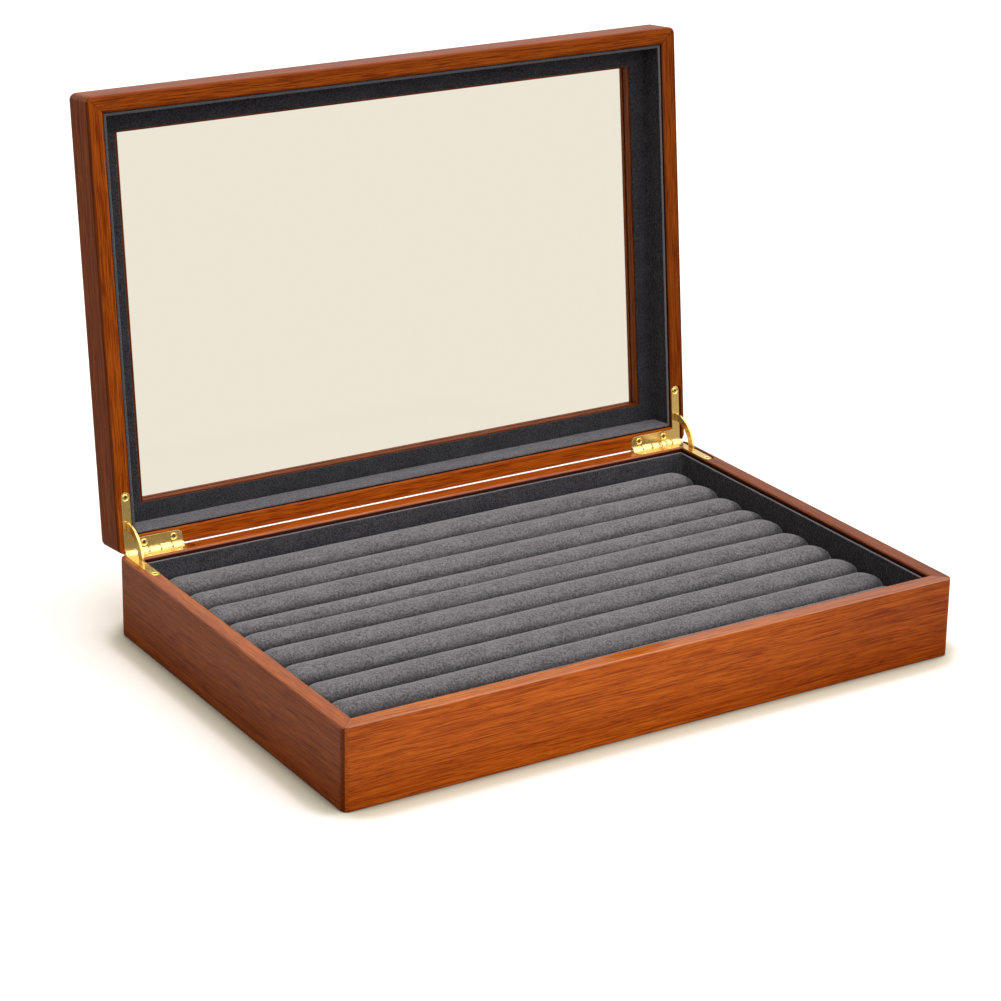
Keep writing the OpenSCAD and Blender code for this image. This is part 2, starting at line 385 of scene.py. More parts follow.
class Finish:
    """A material in the making, with its tree and the place of each point."""

    def __init__(self, name: str) -> None:
        """Makes the material.

        Args:
            name: The material's name.
        """
        self.material = bpy.data.materials.new(name)
        self.material.use_nodes = True
        self.tree = ShaderTree(self.material.node_tree)
        self.place = self.tree.term("ShaderNodeTexCoord", {}, {}, "Object")

    def principled(self, sockets: dict[str | int, object]) -> bpy.types.Material:
        """Ends the tree in a Principled shader.

        Args:
            sockets: Values or links for its inputs.

        Returns:
            The material.
        """
        return self.end(self.tree.term("ShaderNodeBsdfPrincipled", {}, sockets))

    def end(self, shader: Term) -> bpy.types.Material:
        """Ends the tree in a shader.

        Args:
            shader: The shader.

        Returns:
            The material.
        """
        self.tree.node("ShaderNodeOutputMaterial", {}, {"Surface": shader})
        return self.material


# ---------------------------------------------------------------------------
# The box itself: what the frame says
# ---------------------------------------------------------------------------


@dataclass
class BoxFrame:
    """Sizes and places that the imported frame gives, in metres."""

    nodes: dict[str, bpy.types.Object]
    hinge: Vector
    open_angle: float
    half_width: float
    half_depth: float
    wall: float
    rim: float
    lid_rim: float

    @classmethod
    def read(cls, frame: dict[str, object]) -> BoxFrame:
        """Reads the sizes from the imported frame.


        Returns:
            The sizes.
        """
        lid_hinge = next(j for j in frame["joints"] if j["name"] == "lid_hinge")
        hinge = Vector(lid_hinge["pos_m"])
        low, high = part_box("base_wall_front")
        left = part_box("base_wall_left")[0]
        return cls(
            nodes=frame["nodes"],
            hinge=hinge,
            open_angle=math.radians(lid_hinge["range_deg"][1]),
            half_width=-left.x,
            half_depth=-low.y,
            wall=high.y - low.y,
            rim=high.z,
            lid_rim=2 * hinge.z - high.z,
        )

    @property
    def opening(self) -> Matrix:
        """The turn that opens what is placed on the shut lid."""
        turn = Matrix.Rotation(-self.open_angle, 4, "X")
        return Matrix.Translation(self.hinge) @ turn @ Matrix.Translation(-self.hinge)

    def shut_points(self, node: str) -> list[Vector]:
        """Places the points of a node of the lid as they lie when the lid is shut.

        Args:
            node: The node's name.

        Returns:
            The points.
        """
        shutting = self.opening.inverted()
        return [shutting @ v.co for v in self.nodes[node].data.vertices]

    def shut_box(self, node: str) -> tuple[Vector, Vector]:
        """Measures a node of the lid as it lies when the lid is shut.

        Args:
            node: The node's name.

        Returns:
            Its lowest and highest corner.
        """
        points = self.shut_points(node)
        low = Vector(min(p[i] for p in points) for i in range(3))
        high = Vector(max(p[i] for p in points) for i in range(3))
        return low, high


# ---------------------------------------------------------------------------
# Finishes
# ---------------------------------------------------------------------------


@dataclass(frozen=True)
class Board:
    """How one board was cut and stained, and how its painted shade falls."""

    side: Side
    on_lid: bool
    wall: bool
    cut_at: float
    tone: float
    # The tone that the painted shade along the board reaches at its far end.
    shaded_far_tone: float
    # Where along the board the painted light is brightest, from -1 to 1.
    lit_centre: float
    lacquer: float
    # The colour of the arris line: painted highlight on the base front and back, painted shade on
    # the sides, russet on the lid's front and back.
    arris: Colour


@dataclass(frozen=True)
class Figure:
    """One scale of the wood's figure: how large it is and how much it counts."""

    size: Size
    share: float
    detail: float = 2.0


@dataclass(frozen=True)
class Grain:
    """What the figure of a board gives to its colour, roughness and relief."""

    colour: Term
    fibres: Term
    patches: Term
    lines: Term
    pores: Term


@dataclass(frozen=True)
class Spot:
    """Where a point lies on its board, with the box shut."""

    x: Term
    y: Term
    from_rim: Term
    rim: Term
    # Mask of the painted shade at the foot of the base walls, which also thins their lacquer.
    foot: Term | float


@dataclass(frozen=True)
class StainedWood:
    """Orange-brown stained hardwood under satin lacquer, a board at a time."""

    pale: Colour = (0.66, 0.150, 0.011)
    middle: Colour = (0.50, 0.093, 0.0055)
    deep: Colour = (0.25, 0.036, 0.0022)
    # The colour of the pores, and of the painted shade at the base's vertical corners.
    pore_and_corner_shade: Colour = (0.075, 0.010, 0.0015)
    joint: Colour = (0.030, 0.008, 0.004)
    # Painted shade on the inner faces of the walls below the rim.
    inner_shade: Colour = (0.020, 0.004, 0.003)
    # Painted shade: the colour that the darkening along each board, at the foot and on the lid's
    # left face multiplies in.
    shade: Colour = (0.42, 0.32, 0.24)
    # Painted shade that darkens and browns the top of the base's front rim.
    front_rim_shade: Colour = (0.84, 0.96, 0.95)
    wander: Figure = Figure((60 * MM, 14 * MM, 14 * MM), 3.0 * MM, 1.0)
    bands: Figure = Figure((120 * MM, 5 * MM, 5 * MM), 0.40)
    streaks: Figure = Figure((40 * MM, 0.80 * MM, 0.80 * MM), 0.85)
    fibres: Figure = Figure((15 * MM, 0.36 * MM, 0.36 * MM), 1.20)
    patches: Figure = Figure((38 * MM, 10 * MM, 10 * MM), 0.25)
    dashes: Figure = Figure((5.5 * MM, 0.33 * MM, 0.33 * MM), 1.0, 1.0)
    clusters: Figure = Figure((30 * MM, 4 * MM, 4 * MM), 0.12, 1.0)
    figure_middle: float = 0.845
    base_lines: float = 0.30
    lid_lines: float = 0.60
    pore_share: float = 0.36
    joint_width: float = 0.22 * MM
    joint_share: float = 0.8
    # Width and strength of the arris line, a painted highlight on some boards and a painted shade
    # line on others.
    arris_line_width: float = 0.58 * MM
    arris_line_share: float = 0.75
    lid_arris_widening: float = 2.4
    inner_shade_share: float = 0.93
    # Painted shade at the base's vertical corners.
    corner_shade_width: float = 3.8 * MM
    corner_shade_share: float = 0.72
    # Painted shade: the base walls darken towards the floor, where less light reaches.
    foot: float = 0.42
    foot_shade_top: float = 31 * MM
    foot_shade_end: float = -7 * MM
    # Painted shade on the outer face of the lid's left rail.
    flank_shade: float = 0.38

    def material(self, name: str, box: BoxFrame, board: Board) -> bpy.types.Material:
        """Makes the finish of one board.

        Args:
            name: The material's name.
            box: The sizes of the box.
            board: How the board was cut and stained.

        Returns:
            The material.
        """
        finish = Finish(name)
        tree = finish.tree
        shut = self._shut_place(finish, box) if board.on_lid else finish.place
        grain = self._grain(tree, shut, board)
        spot = self._spot(tree, shut, box, board)
        colour = self._shaded(tree, grain, spot, box, board)
        if board.wall:
            colour = self._arris_and_painted_shade(tree, colour, grain, spot, box, board)
        colour = self._jointed(tree, colour, spot, box)
        gloss = spot.rim * -0.18 if board.on_lid else spot.rim * 0.2 - spot.foot * 0.6
        relief = 1.0 - grain.pores * 0.6 - grain.lines * 0.3 + grain.fibres * 0.3
        return finish.principled(
            {
                "Base Color": colour,
                "Roughness": 0.40 + grain.fibres * 0.16 + grain.pores * 0.15,
                "IOR": 1.5,
                "Specular IOR Level": 0.0,
                "Coat Weight": board.lacquer + gloss,
                "Coat Roughness": 0.15,
                "Normal": tree.bump(relief, 0.05 * MM, 0.6),
            }
        )

    def _grain(self, tree: ShaderTree, shut: Term, board: Board) -> Grain:
        """Stains the figure that runs along the board.

        Args:
            tree: The material's tree.
            shut: The place in the shut box.
            board: How the board was cut and stained.

        Returns:
            The grain.
        """
        turn = 0.0 if board.side.runs_along_x else -math.pi / 2
        cut = board.cut_at
        along = tree.term(
            "ShaderNodeMapping",
            {"vector_type": "POINT"},
            {"Vector": shut, "Rotation": (0.0, 0.0, turn), "Location": (cut, cut * 3, cut * 7)},
        )
        reach = (0.0, self.wander.share, self.wander.share)
        bent = tree.term(
            "ShaderNodeVectorMath",
            {"operation": "MULTIPLY_ADD"},
            {0: tree.noise(along, self.wander.size, self.wander.detail), 1: reach, 2: along},
        )
        figures = (self.bands, self.streaks, self.fibres, self.dashes, self.clusters)
        bands, streaks, fibres, dashes, clusters = (
            tree.noise(bent, figure.size, figure.detail) for figure in figures
        )
        patches = tree.noise(along, self.patches.size, self.patches.detail)
        shade = bands * self.bands.share + streaks * self.streaks.share + fibres * self.fibres.share
        shade = shade + patches * self.patches.share - self.figure_middle
        tones = [tuple(part * board.tone for part in c) for c in (self.deep, self.middle, self.pale)]
        colour = tree.ramp(shade, list(zip((0.12, 0.48, 0.86), tones)))
        lines = tree.step(fibres + streaks * 0.5, 0.76, 0.62)
        share = self.lid_lines if board.on_lid else self.base_lines
        colour = tree.mix(lines * share, colour, tones[0])
        pores = tree.step(dashes + clusters * self.clusters.share, 0.65, 0.76)
        colour = tree.mix(pores * self.pore_share, colour, self.pore_and_corner_shade)
        return Grain(colour, fibres, patches, lines, pores)

    def _spot(self, tree: ShaderTree, shut: Term, box: BoxFrame, board: Board) -> Spot:
        """Finds where a point lies on its board.

        Args:
            tree: The material's tree.
            shut: The place in the shut box.
            box: The sizes of the box.
            board: How the board was cut and stained.

        Returns:
            Its place, with masks of the rim and of the painted shade at the foot of the base.
        """
        x, y, height = tree.parts(shut)
        from_rim = abs(height - (box.lid_rim if board.on_lid else box.rim))
        rim = tree.step(from_rim, 1.2 * MM, 0.3 * MM)
        on_base = board.wall and not board.on_lid
        # Painted shade at the foot of the base walls.
        foot = tree.step(height, self.foot_shade_top, self.foot_shade_end) if on_base else 0.0
        return Spot(x, y, from_rim, rim, foot)

    def _shaded(
        self, tree: ShaderTree, grain: Grain, spot: Spot, box: BoxFrame, board: Board
    ) -> Term:
        """Paints shade into the stain, towards the board's far end, at the foot of the base walls,
        on the outer face of the lid's left rail and on the top of the base's front rim.

        Args:
            tree: The material's tree.
            grain: The board's grain.
            spot: Where the point lies.
            box: The sizes of the box.
            board: How the board was cut and stained.

        Returns:
            The colour.
        """
        along_x = board.side.runs_along_x
        run, reach = (spot.x, box.half_width) if along_x else (spot.y, box.half_depth)
        # Painted light fall-off: the stain darkens away from the board's brightest point.
        away = abs(run - board.lit_centre * reach)
        painted_falloff = tree.step(away, 0.0, 2 * reach) * (1 - board.shaded_far_tone / board.tone)
        # Painted shade down the outer face of the lid's left rail.
        on_flank = board.on_lid and board.side is Side.LEFT
        flank_shade = (1.0 - spot.rim) * self.flank_shade if on_flank else 0.0
        factor = painted_falloff + spot.foot * self.foot + flank_shade
        colour = tree.mix(factor, grain.colour, self.shade, "MULTIPLY")
        # Painted shade on the top of the base's front rim.
        if board.side is Side.FRONT and not board.on_lid:
            colour = tree.mix(spot.rim, colour, self.front_rim_shade, "MULTIPLY")
        return colour

    def _arris_and_painted_shade(
        self,
        tree: ShaderTree,
        colour: Term,
        grain: Grain,
        spot: Spot,
        box: BoxFrame,
        board: Board,
    ) -> Term:
        """Adds a wall's outer arris line, painted shade on its inner faces and painted shade at the
        base's corners.

        Args:
            tree: The material's tree.
            colour: The colour without them.
            grain: The board's grain, whose patches make the arris line uneven.
            spot: Where the point lies.
            box: The sizes of the box.
            board: How the board was cut and stained.

        Returns:
            The colour.
        """
        from_end = box.half_depth - abs(spot.y)
        nearest = (box.half_width - abs(spot.x)).least(from_end)
        width = self.arris_line_width * (self.lid_arris_widening if board.on_lid else 1.0)
        # Arris line along the outer top edge in the board's arris colour (painted highlight on the
        # base front and back, painted shade on the sides), made uneven by the grain's patches.
        arris = tree.step(nearest + spot.from_rim, width, width * 0.35)
        rubbed = arris * tree.step(grain.patches, 0.2, 0.5)
        colour = tree.mix(rubbed * self.arris_line_share, colour, board.arris)
        # Painted shade on the inner faces of the walls below the rim.
        inside = tree.step(nearest, box.wall - 0.45 * MM, box.wall - 0.05 * MM)
        below = tree.step(spot.from_rim, 0.35 * MM, 1.0 * MM)
        colour = tree.mix(inside * below * self.inner_shade_share, colour, self.inner_shade)
        if board.on_lid:
            return colour
        # Painted shade at the base's vertical corners: the right end of the front and back boards
        # and both ends of the sides.
        if board.side.runs_along_x:
            corner = tree.step(box.half_width - spot.x, 1.6 * MM, 0.8 * MM)
        else:
            corner = tree.step(from_end, self.corner_shade_width, self.corner_shade_width * 0.3)
        face = tree.step(spot.from_rim, 0.4 * MM, 1.6 * MM)
        return tree.mix(corner * face * self.corner_shade_share, colour, self.pore_and_corner_shade)

    def _jointed(self, tree: ShaderTree, colour: Term, spot: Spot, box: BoxFrame) -> Term:
        """Draws the thin dark lines of the mitres.

        Args:
            tree: The material's tree.
            colour: The colour without them.
            spot: Where the point lies.
            box: The sizes of the box.

        Returns:
            The colour.
        """
        from_side = box.half_width - abs(spot.x)
        from_end = box.half_depth - abs(spot.y)
        width = self.joint_width
        joint = tree.step(abs(from_side - from_end), width, width * 0.3)
        return tree.mix(joint * self.joint_share, colour, self.joint)

    @staticmethod
    def _shut_place(finish: Finish, box: BoxFrame) -> Term:
        """Turns a place on the open lid back to where it lies in the shut box.

        Args:
            finish: The material in the making.
            box: The sizes of the box.

        Returns:
            The place.
        """
        turn = box.opening.inverted()
        sockets = {
            "Vector": finish.place,
            "Rotation": tuple(turn.to_euler()),
            "Location": tuple(turn.to_translation()),
        }
        return finish.tree.term("ShaderNodeMapping", {"vector_type": "POINT"}, sockets)


@dataclass(frozen=True)
class Velvet:
    """Short-pile velvet with the mottle that the nap leaves."""

    dark: Colour
    light: Colour
    speckle: float = 0.95 * MM
    grain: float = 0.45 * MM
    brushing: Size = (13 * MM, 5 * MM, 5 * MM)
    pile_depth: float = 0.45 * MM
    sheen: float = 0.55
    sheen_roughness: float = 0.32
    sheen_tint: Colour = (0.95, 0.92, 0.95)
    # A painted highlight along the card's top edge, where given.
    edge: Colour | None = None

    def material(self, name: str) -> bpy.types.Material:
        """Makes the finish.

        Args:
            name: The material's name.

        Returns:
            The material.
        """
        finish = Finish(name)
        tree = finish.tree
        specks = tree.noise(finish.place, (self.speckle,) * 3)
        grains = tree.noise(finish.place, (self.grain,) * 3)
        brushed = tree.noise(finish.place, self.brushing, 3.0)
        nap = specks * 1.5 + grains * 1.3 + brushed * 0.5 - 1.15
        colour = tree.ramp(nap, [(0.12, self.dark), (0.88, self.light)])
        colour = self._shaded(finish, colour, brushed)
        if self.edge is not None:
            # Painted highlight along the card's top edge.
            top_edge = tree.term("ShaderNodeAttribute", {"attribute_name": "edge"}, {}, "Fac")
            light = tree.step(top_edge + specks * 0.3, 0.6, 1.15)
            colour = tree.mix(light * 0.5, colour, self.edge)
        return finish.principled(
            {
                "Base Color": colour,
                "Roughness": 0.9,
                "Specular IOR Level": 0.1,
                "Sheen Weight": self.sheen,
                "Sheen Roughness": self.sheen_roughness,
                "Sheen Tint": (*self.sheen_tint, 1.0),
                "Normal": tree.bump(specks + grains * 0.7, self.pile_depth, 0.9),
            }
        )

    def _shaded(self, finish: Finish, colour: Term, brushed: Term) -> Term:
        """Leaves the pile of a flat card as it is.

        Args:
            finish: The material in the making; not used here.
            colour: The colour of the pile.
            brushed: Noise that the rolls use; not used here.

        Returns:
            The colour.
        """
        return colour


@dataclass(frozen=True)
class RollVelvet(Velvet):
    """The velvet of the rolls, with painted shade between them and at their ends."""

    crest: float = 0.0
    half_length: float = 0.0
    # Painted shade in the valleys between the rolls and at their ends.
    valley_shade: Colour = (0.22, 0.21, 0.22)
    valley_top: float = 1.6 * MM
    valley_foot: float = 6.4 * MM
    unevenness: float = 0.8 * MM
    left_extra_shade: float = 0.8 * MM
    end_inside: float = 9.0 * MM
    end_outside: float = 1.0 * MM
    end_share: float = 0.9

    def _shaded(self, finish: Finish, colour: Term, brushed: Term) -> Term:
        """Paints shade into the valleys, more to the left, and at the ends.

        Args:
            finish: The material in the making.
            colour: The colour of the pile.
            brushed: Noise that makes the painted shade uneven.

        Returns:
            The colour.
        """
        tree = finish.tree
        x, _, z = tree.parts(finish.place)
        left = tree.step(x, 0.0, -self.half_length)
        height = z + (brushed - 0.5) * self.unevenness - left * self.left_extra_shade
        # Painted shade in the valleys between the rolls.
        deep = tree.step(height, self.crest - self.valley_top, self.crest - self.valley_foot)
        colour = tree.mix(deep, colour, self.valley_shade, "MULTIPLY")
        # Painted shade at the ends of the rolls.
        inside, outside = self.half_length - self.end_inside, self.half_length + self.end_outside
        ends = tree.step(abs(x), inside, outside)
        return tree.mix(ends * self.end_share, colour, self.valley_shade, "MULTIPLY")


@dataclass(frozen=True)
class Brass:
    """Polished brass, slightly rubbed."""

    colour: Colour = (0.84, 0.56, 0.145)
    rubbed: Colour = (0.91, 0.66, 0.25)
    # Painted highlight on the hinge barrel.
    barrel_highlight: Colour = (0.92, 0.82, 0.50)
    # Painted shade in the gaps between the knuckles.
    knuckle_gap_shade: Colour = (0.16, 0.09, 0.02)
    axis: Vector | None = None
    barrel: float = 1.5 * MM
    joints: tuple[float, ...] = ()
    joint_width: float = 0.34 * MM
    clouding: float = 5 * MM
    brushing: Size = (6 * MM, 0.12 * MM, 0.12 * MM)
    metallic: float = 0.82
    roughness: float = 0.17

    def material(self, name: str) -> bpy.types.Material:
        """Makes the finish.

        Args:
            name: The material's name.

        Returns:
            The material.
        """
        finish = Finish(name)
        tree = finish.tree
        clouds = tree.noise(finish.place, (self.clouding,) * 3, 3.0)
        lines = tree.noise(finish.place, self.brushing, 1.0)
        colour = tree.mix(clouds, self.colour, self.rubbed)
        if self.axis is not None:
            colour = self._knuckled(finish, colour)
        return finish.principled(
            {
                "Base Color": colour,
                "Metallic": self.metallic,
                "Roughness": self.roughness - 0.05 + clouds * 0.08 + lines * 0.05,
                "Normal": tree.bump(lines, 0.004 * MM, 0.5),
            }
        )

    def _knuckled(self, finish: Finish, colour: Term) -> Term:
        """Paints a highlight on the barrel and shade in the gaps between its knuckles.

        Args:
            finish: The material in the making.
            colour: The colour without them.

        Returns:
            The colour.
        """
        tree = finish.tree
        x, y, z = tree.parts(finish.place)
        from_axis = abs(y - self.axis.y) + abs(z - self.axis.z)
        on_barrel = tree.step(from_axis, self.barrel * 1.5, self.barrel * 1.1)
        # Painted highlight on the barrel.
        colour = tree.mix(on_barrel, colour, self.barrel_highlight)
        # Painted shade in the gaps between the knuckles.
        for joint in self.joints:
            near = tree.step(abs(abs(x) - joint), self.joint_width, self.joint_width * 0.4)
            colour = tree.mix(near * on_barrel, colour, self.knuckle_gap_shade)
        return colour


@dataclass(frozen=True)
class PlainBoard:
    """The bare board of the bottom, with a faint grain."""

    dark: Colour = (0.30, 0.17, 0.08)
    light: Colour = (0.48, 0.31, 0.17)
    bands: Size = (90 * MM, 3 * MM, 3 * MM)
    fibres: Size = (12 * MM, 0.5 * MM, 0.5 * MM)

    def material(self, name: str) -> bpy.types.Material:
        """Makes the finish.

        Args:
            name: The material's name.

        Returns:
            The material.
        """
        finish = Finish(name)
        tree = finish.tree
        bands = tree.noise(finish.place, self.bands, 4.0)
        fibres = tree.noise(finish.place, self.fibres)
        shade = bands * 1.2 + fibres * 0.5 - 0.35
        return finish.principled(
            {
                "Base Color": tree.ramp(shade, [(0.2, self.dark), (0.8, self.light)]),
                "Roughness": 0.62 + fibres * 0.2,
                "Normal": tree.bump(fibres, 0.05 * MM, 0.5),
            }
        )


@dataclass(frozen=True)
class WindowGlass:
    """Clear glass that lets the lamps through."""

    tint: Colour = (1.0, 1.0, 1.0)
    shadow_tint: Colour = (0.93, 0.94, 0.93)
    smear: float = 40 * MM

    def material(self, name: str) -> bpy.types.Material:
        """Makes the finish.

        Args:
            name: The material's name.

        Returns:
            The material.
        """
        finish = Finish(name)
        tree = finish.tree
        wiped = tree.noise(finish.place, (self.smear,) * 3)
        sockets = {
            "Base Color": (*self.tint, 1.0),
            "Transmission Weight": 1.0,
            "Roughness": wiped * 0.02,
            "IOR": 1.2,
            "Specular IOR Level": 0.0,
        }
        glass = tree.term("ShaderNodeBsdfPrincipled", {}, sockets)
        clear = tree.shader("ShaderNodeBsdfTransparent", self.shadow_tint)
        in_shadow = tree.term("ShaderNodeLightPath", {}, {}, "Is Shadow Ray")
        return finish.end(tree.blend(in_shadow, glass, clear))


# ---------------------------------------------------------------------------
# Mesh helpers
# ---------------------------------------------------------------------------


SAME_POINT = 0.002 * MM
SHARP_EDGE = math.radians(35)


def mesh_object(name: str, shape: bmesh.types.BMesh, smooth_below: float) -> bpy.types.Object:
    """Turns a finished shape into an object at the origin.

    Args:
        name: The object's name.
        shape: The shape, which is freed.
        smooth_below: Edges that bend less than this, in radians, are shaded smooth.

    Returns:
        The object.
    """
    bmesh.ops.recalc_face_normals(shape, faces=shape.faces)
    for face in shape.faces:
        face.smooth = True
    for edge in shape.edges:
        edge.smooth = len(edge.link_faces) == 2 and edge.calc_face_angle(0.0) < smooth_below
    mesh = bpy.data.meshes.new(name)
    shape.to_mesh(mesh)
    shape.free()
    made = bpy.data.objects.new(name, mesh)
    bpy.context.scene.collection.objects.link(made)
    return made


def join_rings(shape: bmesh.types.BMesh, rings: list[list[bmesh.types.BMVert]]) -> None:
    """Lays faces between each ring of points and the next.

    Args:
        shape: The shape that the points belong to.
        rings: The rings, each with as many points as the first.
    """
    count = len(rings[0])
    for a, b in zip(rings, rings[1:]):
        for k in range(count):
            n = (k + 1) % count
            shape.faces.new((a[k], a[n], b[n], b[k]))


def dress(obj: bpy.types.Object, material: bpy.types.Material) -> None:
    """Gives an object one material.

    Args:
        obj: The object.
        material: The material.
    """
    obj.data.materials.clear()
    obj.data.materials.append(material)


def soften_edges(obj: bpy.types.Object, width: float) -> None:
    """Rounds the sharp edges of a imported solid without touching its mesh.

    Args:
        obj: The solid's object.
        width: The width of the rounding, in metres.
    """
    weld = obj.modifiers.new("weld", "WELD")
    weld.merge_threshold = SAME_POINT
    bevel = obj.modifiers.new("soften", "BEVEL")
    bevel.width = width
    bevel.segments = 2
    bevel.limit_method = "ANGLE"
    bevel.angle_limit = SHARP_EDGE


def rounded_outline(low: Point, high: Point, radius: float, pitch: float) -> list[Point]:
    """Draws a rectangle with round corners and points along its sides.

    Args:
        low: Its lower corner.
        high: Its upper corner.
        radius: The radius of its corners.
        pitch: About how far apart the points on its sides are.

    Returns:
        The points, in order round it.
    """
    arc_steps = 4
    left, right = low[0] + radius, high[0] - radius
    bottom, top = low[1] + radius, high[1] - radius
    centres = ((right, top), (left, top), (left, bottom), (right, bottom))
    points: list[Point] = []
    for quarter, (x, y) in enumerate(centres):
        for i in range(arc_steps + 1):
            angle = (quarter + i / arc_steps) * math.pi / 2
            points.append((x + radius * math.cos(angle), y + radius * math.sin(angle)))
    full: list[Point] = []
    for a, b in zip(points, points[1:] + points[:1]):
        pieces = max(1, round(math.dist(a, b) / pitch))
        for i in range(pieces):
            x = a[0] + (b[0] - a[0]) * i / pieces
            y = a[1] + (b[1] - a[1]) * i / pieces
            full.append((x, y))
    return full


@dataclass
class MitredStrip:
    """A strip that runs round the box, or along one side of it, with mitred ends."""

    half_width: float
    half_depth: float
    outline: list[Point]
    rim_height: float
    edge_highlight_width: float = 0.3 * MM
    pitch: float = 4 * MM
    waviness: float = 0.08 * MM
    wave_length: float = 9 * MM
    wave_seed: int = 3
    merged_below: float = 0.01 * MM

    def _point(self, side: Side, share: float, inset: float, height: float) -> Vector:
        """Places a point of the outline.

        Args:
            side: The side of the box.
            share: How far along it, from -1 to 1.
            inset: The distance from the outside of the box.
            height: The height.

        Returns:
            The point.
        """
        x, y = self.half_width - inset, self.half_depth - inset
        places = {
            Side.FRONT: (share * x, -y),
            Side.RIGHT: (x, share * y),
            Side.BACK: (-share * x, y),
            Side.LEFT: (-x, -share * y),
        }
        point = Vector((*places[side], height))
        wave = Vector(noise.noise_vector(point / self.wave_length)) * self.waviness
        return point + wave

    def shape(self, sides: list[Side]) -> bmesh.types.BMesh:
        """Builds the strip.

        Args:
            sides: The sides that it runs along. All four make a closed frame.

        Returns:
            The shape.
        """
        noise.seed_set(self.wave_seed)
        shape = bmesh.new()
        edge = shape.verts.layers.float.new("edge")
        for side in sides:
            length = 2 * (self.half_width if side.runs_along_x else self.half_depth)
            steps = round(length / self.pitch)
            rings = []
            for i in range(steps + 1):
                share = 2 * i / steps - 1
                rings.append([shape.verts.new(self._point(side, share, *p)) for p in self.outline])
                # Marks the top edge, where the velvet paints a highlight.
                for vertex, (_, height) in zip(rings[-1], self.outline):
                    vertex[edge] = float(abs(height - self.rim_height) < self.edge_highlight_width)
            join_rings(shape, rings)
            if len(sides) == 1:
                shape.faces.new(rings[0])
                shape.faces.new(rings[-1])
        bmesh.ops.remove_doubles(shape, verts=shape.verts, dist=self.merged_below)
        return shape


# ---------------------------------------------------------------------------
# Sub-assemblies
# ---------------------------------------------------------------------------


@dataclass
class WoodenCase:
    """The boards of the base and the lid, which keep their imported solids."""

    box: BoxFrame
    wood: StainedWood = field(default_factory=StainedWood)
    bare: PlainBoard = field(default_factory=PlainBoard)
    edge: float = 0.10 * MM
    # Each pair is a side's stain tone and the tone that the painted shade along its boards reaches
    # at the far end.
    wall_tones: tuple[Tones, ...] = ((1.07, 0.21), (0.43, 0.40), (0.74, 0.72), (0.71, 0.68))
    rail_tones: tuple[Tones, ...] = ((0.58, 0.52), (0.50, 0.44), (0.77, 0.68), (0.66, 0.66))
    frame_tones: tuple[Tones, ...] = ((0.42, 0.42),) * 4
    bead_tones: tuple[Tones, ...] = ((0.36, 0.36),) * 4
    cut_step: float = 0.37
    # Where the painted light along the base's front board is brightest.
    front_lit_centre: float = -0.27
    low_end: float = -1.0
    wall_lacquer: float = 0.62
    right_lacquer: float = 0.28
    lid_lacquer: float = 0.30
    # Arris line colours: a painted highlight for the base front and back, a painted shade line for
    # the sides, russet for the lid's front and back.
    arris_highlight: Colour = (0.82, 0.38, 0.12)
    arris_shade: Colour = (0.055, 0.014, 0.006)
    russet: Colour = (0.30, 0.065, 0.015)

    def build(self) -> None:
        """Dresses every wooden piece."""
        # Name, on the lid, with a rim, where the first board was cut, and tones.
        families = (
            ("base_wall", False, True, 0.11, self.wall_tones),
            ("lid_rail", True, True, 0.53, self.rail_tones),
            ("window_frame", True, False, 0.87, self.frame_tones),
            ("glazing_bead", True, False, 1.31, self.bead_tones),
        )
        for family, on_lid, wall, start, tones in families:
            for number, (side, (tone, shaded_far_tone)) in enumerate(zip(Side, tones)):
                node = f"{family}_{side.value}"
                board = Board(
                    side=side,
                    on_lid=on_lid,
                    wall=wall,
                    cut_at=start + self.cut_step * number,
                    tone=tone,
                    shaded_far_tone=shaded_far_tone,
                    lit_centre=self.front_lit_centre if node == "base_wall_front" else self.low_end,
                    lacquer=self._lacquer(side, on_lid),
                    arris=self._arris(side, on_lid),
                )
                solid = self.box.nodes[node]
                dress(solid, self.wood.material(node, self.box, board))
                soften_edges(solid, self.edge)
                LOG.info("dressed %s", node)
        for node in ("bottom_panel", "roll_bed"):
            dress(self.box.nodes[node], self.bare.material(node))
            LOG.info("dressed %s", node)

    def _lacquer(self, side: Side, on_lid: bool) -> float:
        """Chooses how glossy a board is.

        Args:
            side: The board's side.
            on_lid: Whether it is on the lid.

        Returns:
            The weight of its lacquer.
        """
        if on_lid:
            return self.lid_lacquer
        return self.right_lacquer if side is Side.RIGHT else self.wall_lacquer

    def _arris(self, side: Side, on_lid: bool) -> Colour:
        """Chooses the colour of a board's outer arris line: a painted highlight on the base front
        and back, a painted shade line on the sides and russet on the lid's front and back.

        Args:
            side: The board's side.
            on_lid: Whether it is on the lid.

        Returns:
            The colour.
        """
        if not side.runs_along_x:
            return self.arris_shade
        return self.russet if on_lid else self.arris_highlight


@dataclass(frozen=True)
class RollPlace:
    """Where one padded roll lies."""

    number: int
    centre: Vector
    lean: float
    back: tuple[float, float]
    front: tuple[float, float]
    half_length: float
    half_height: float

    def section(self, along: float) -> tuple[float, float, float]:
        """Finds the middle of the roll and its reach to the back and the front.

        Args:
            along: How far along the roll, from -1 to 1.

        Returns:
            The place of its middle, its reach back and its reach to the front.
        """
        back = self.back[0] + self.back[1] * along
        front = self.front[0] + self.front[1] * along
        middle = self.centre.y + self.lean * along
        return middle, back - middle, middle - front


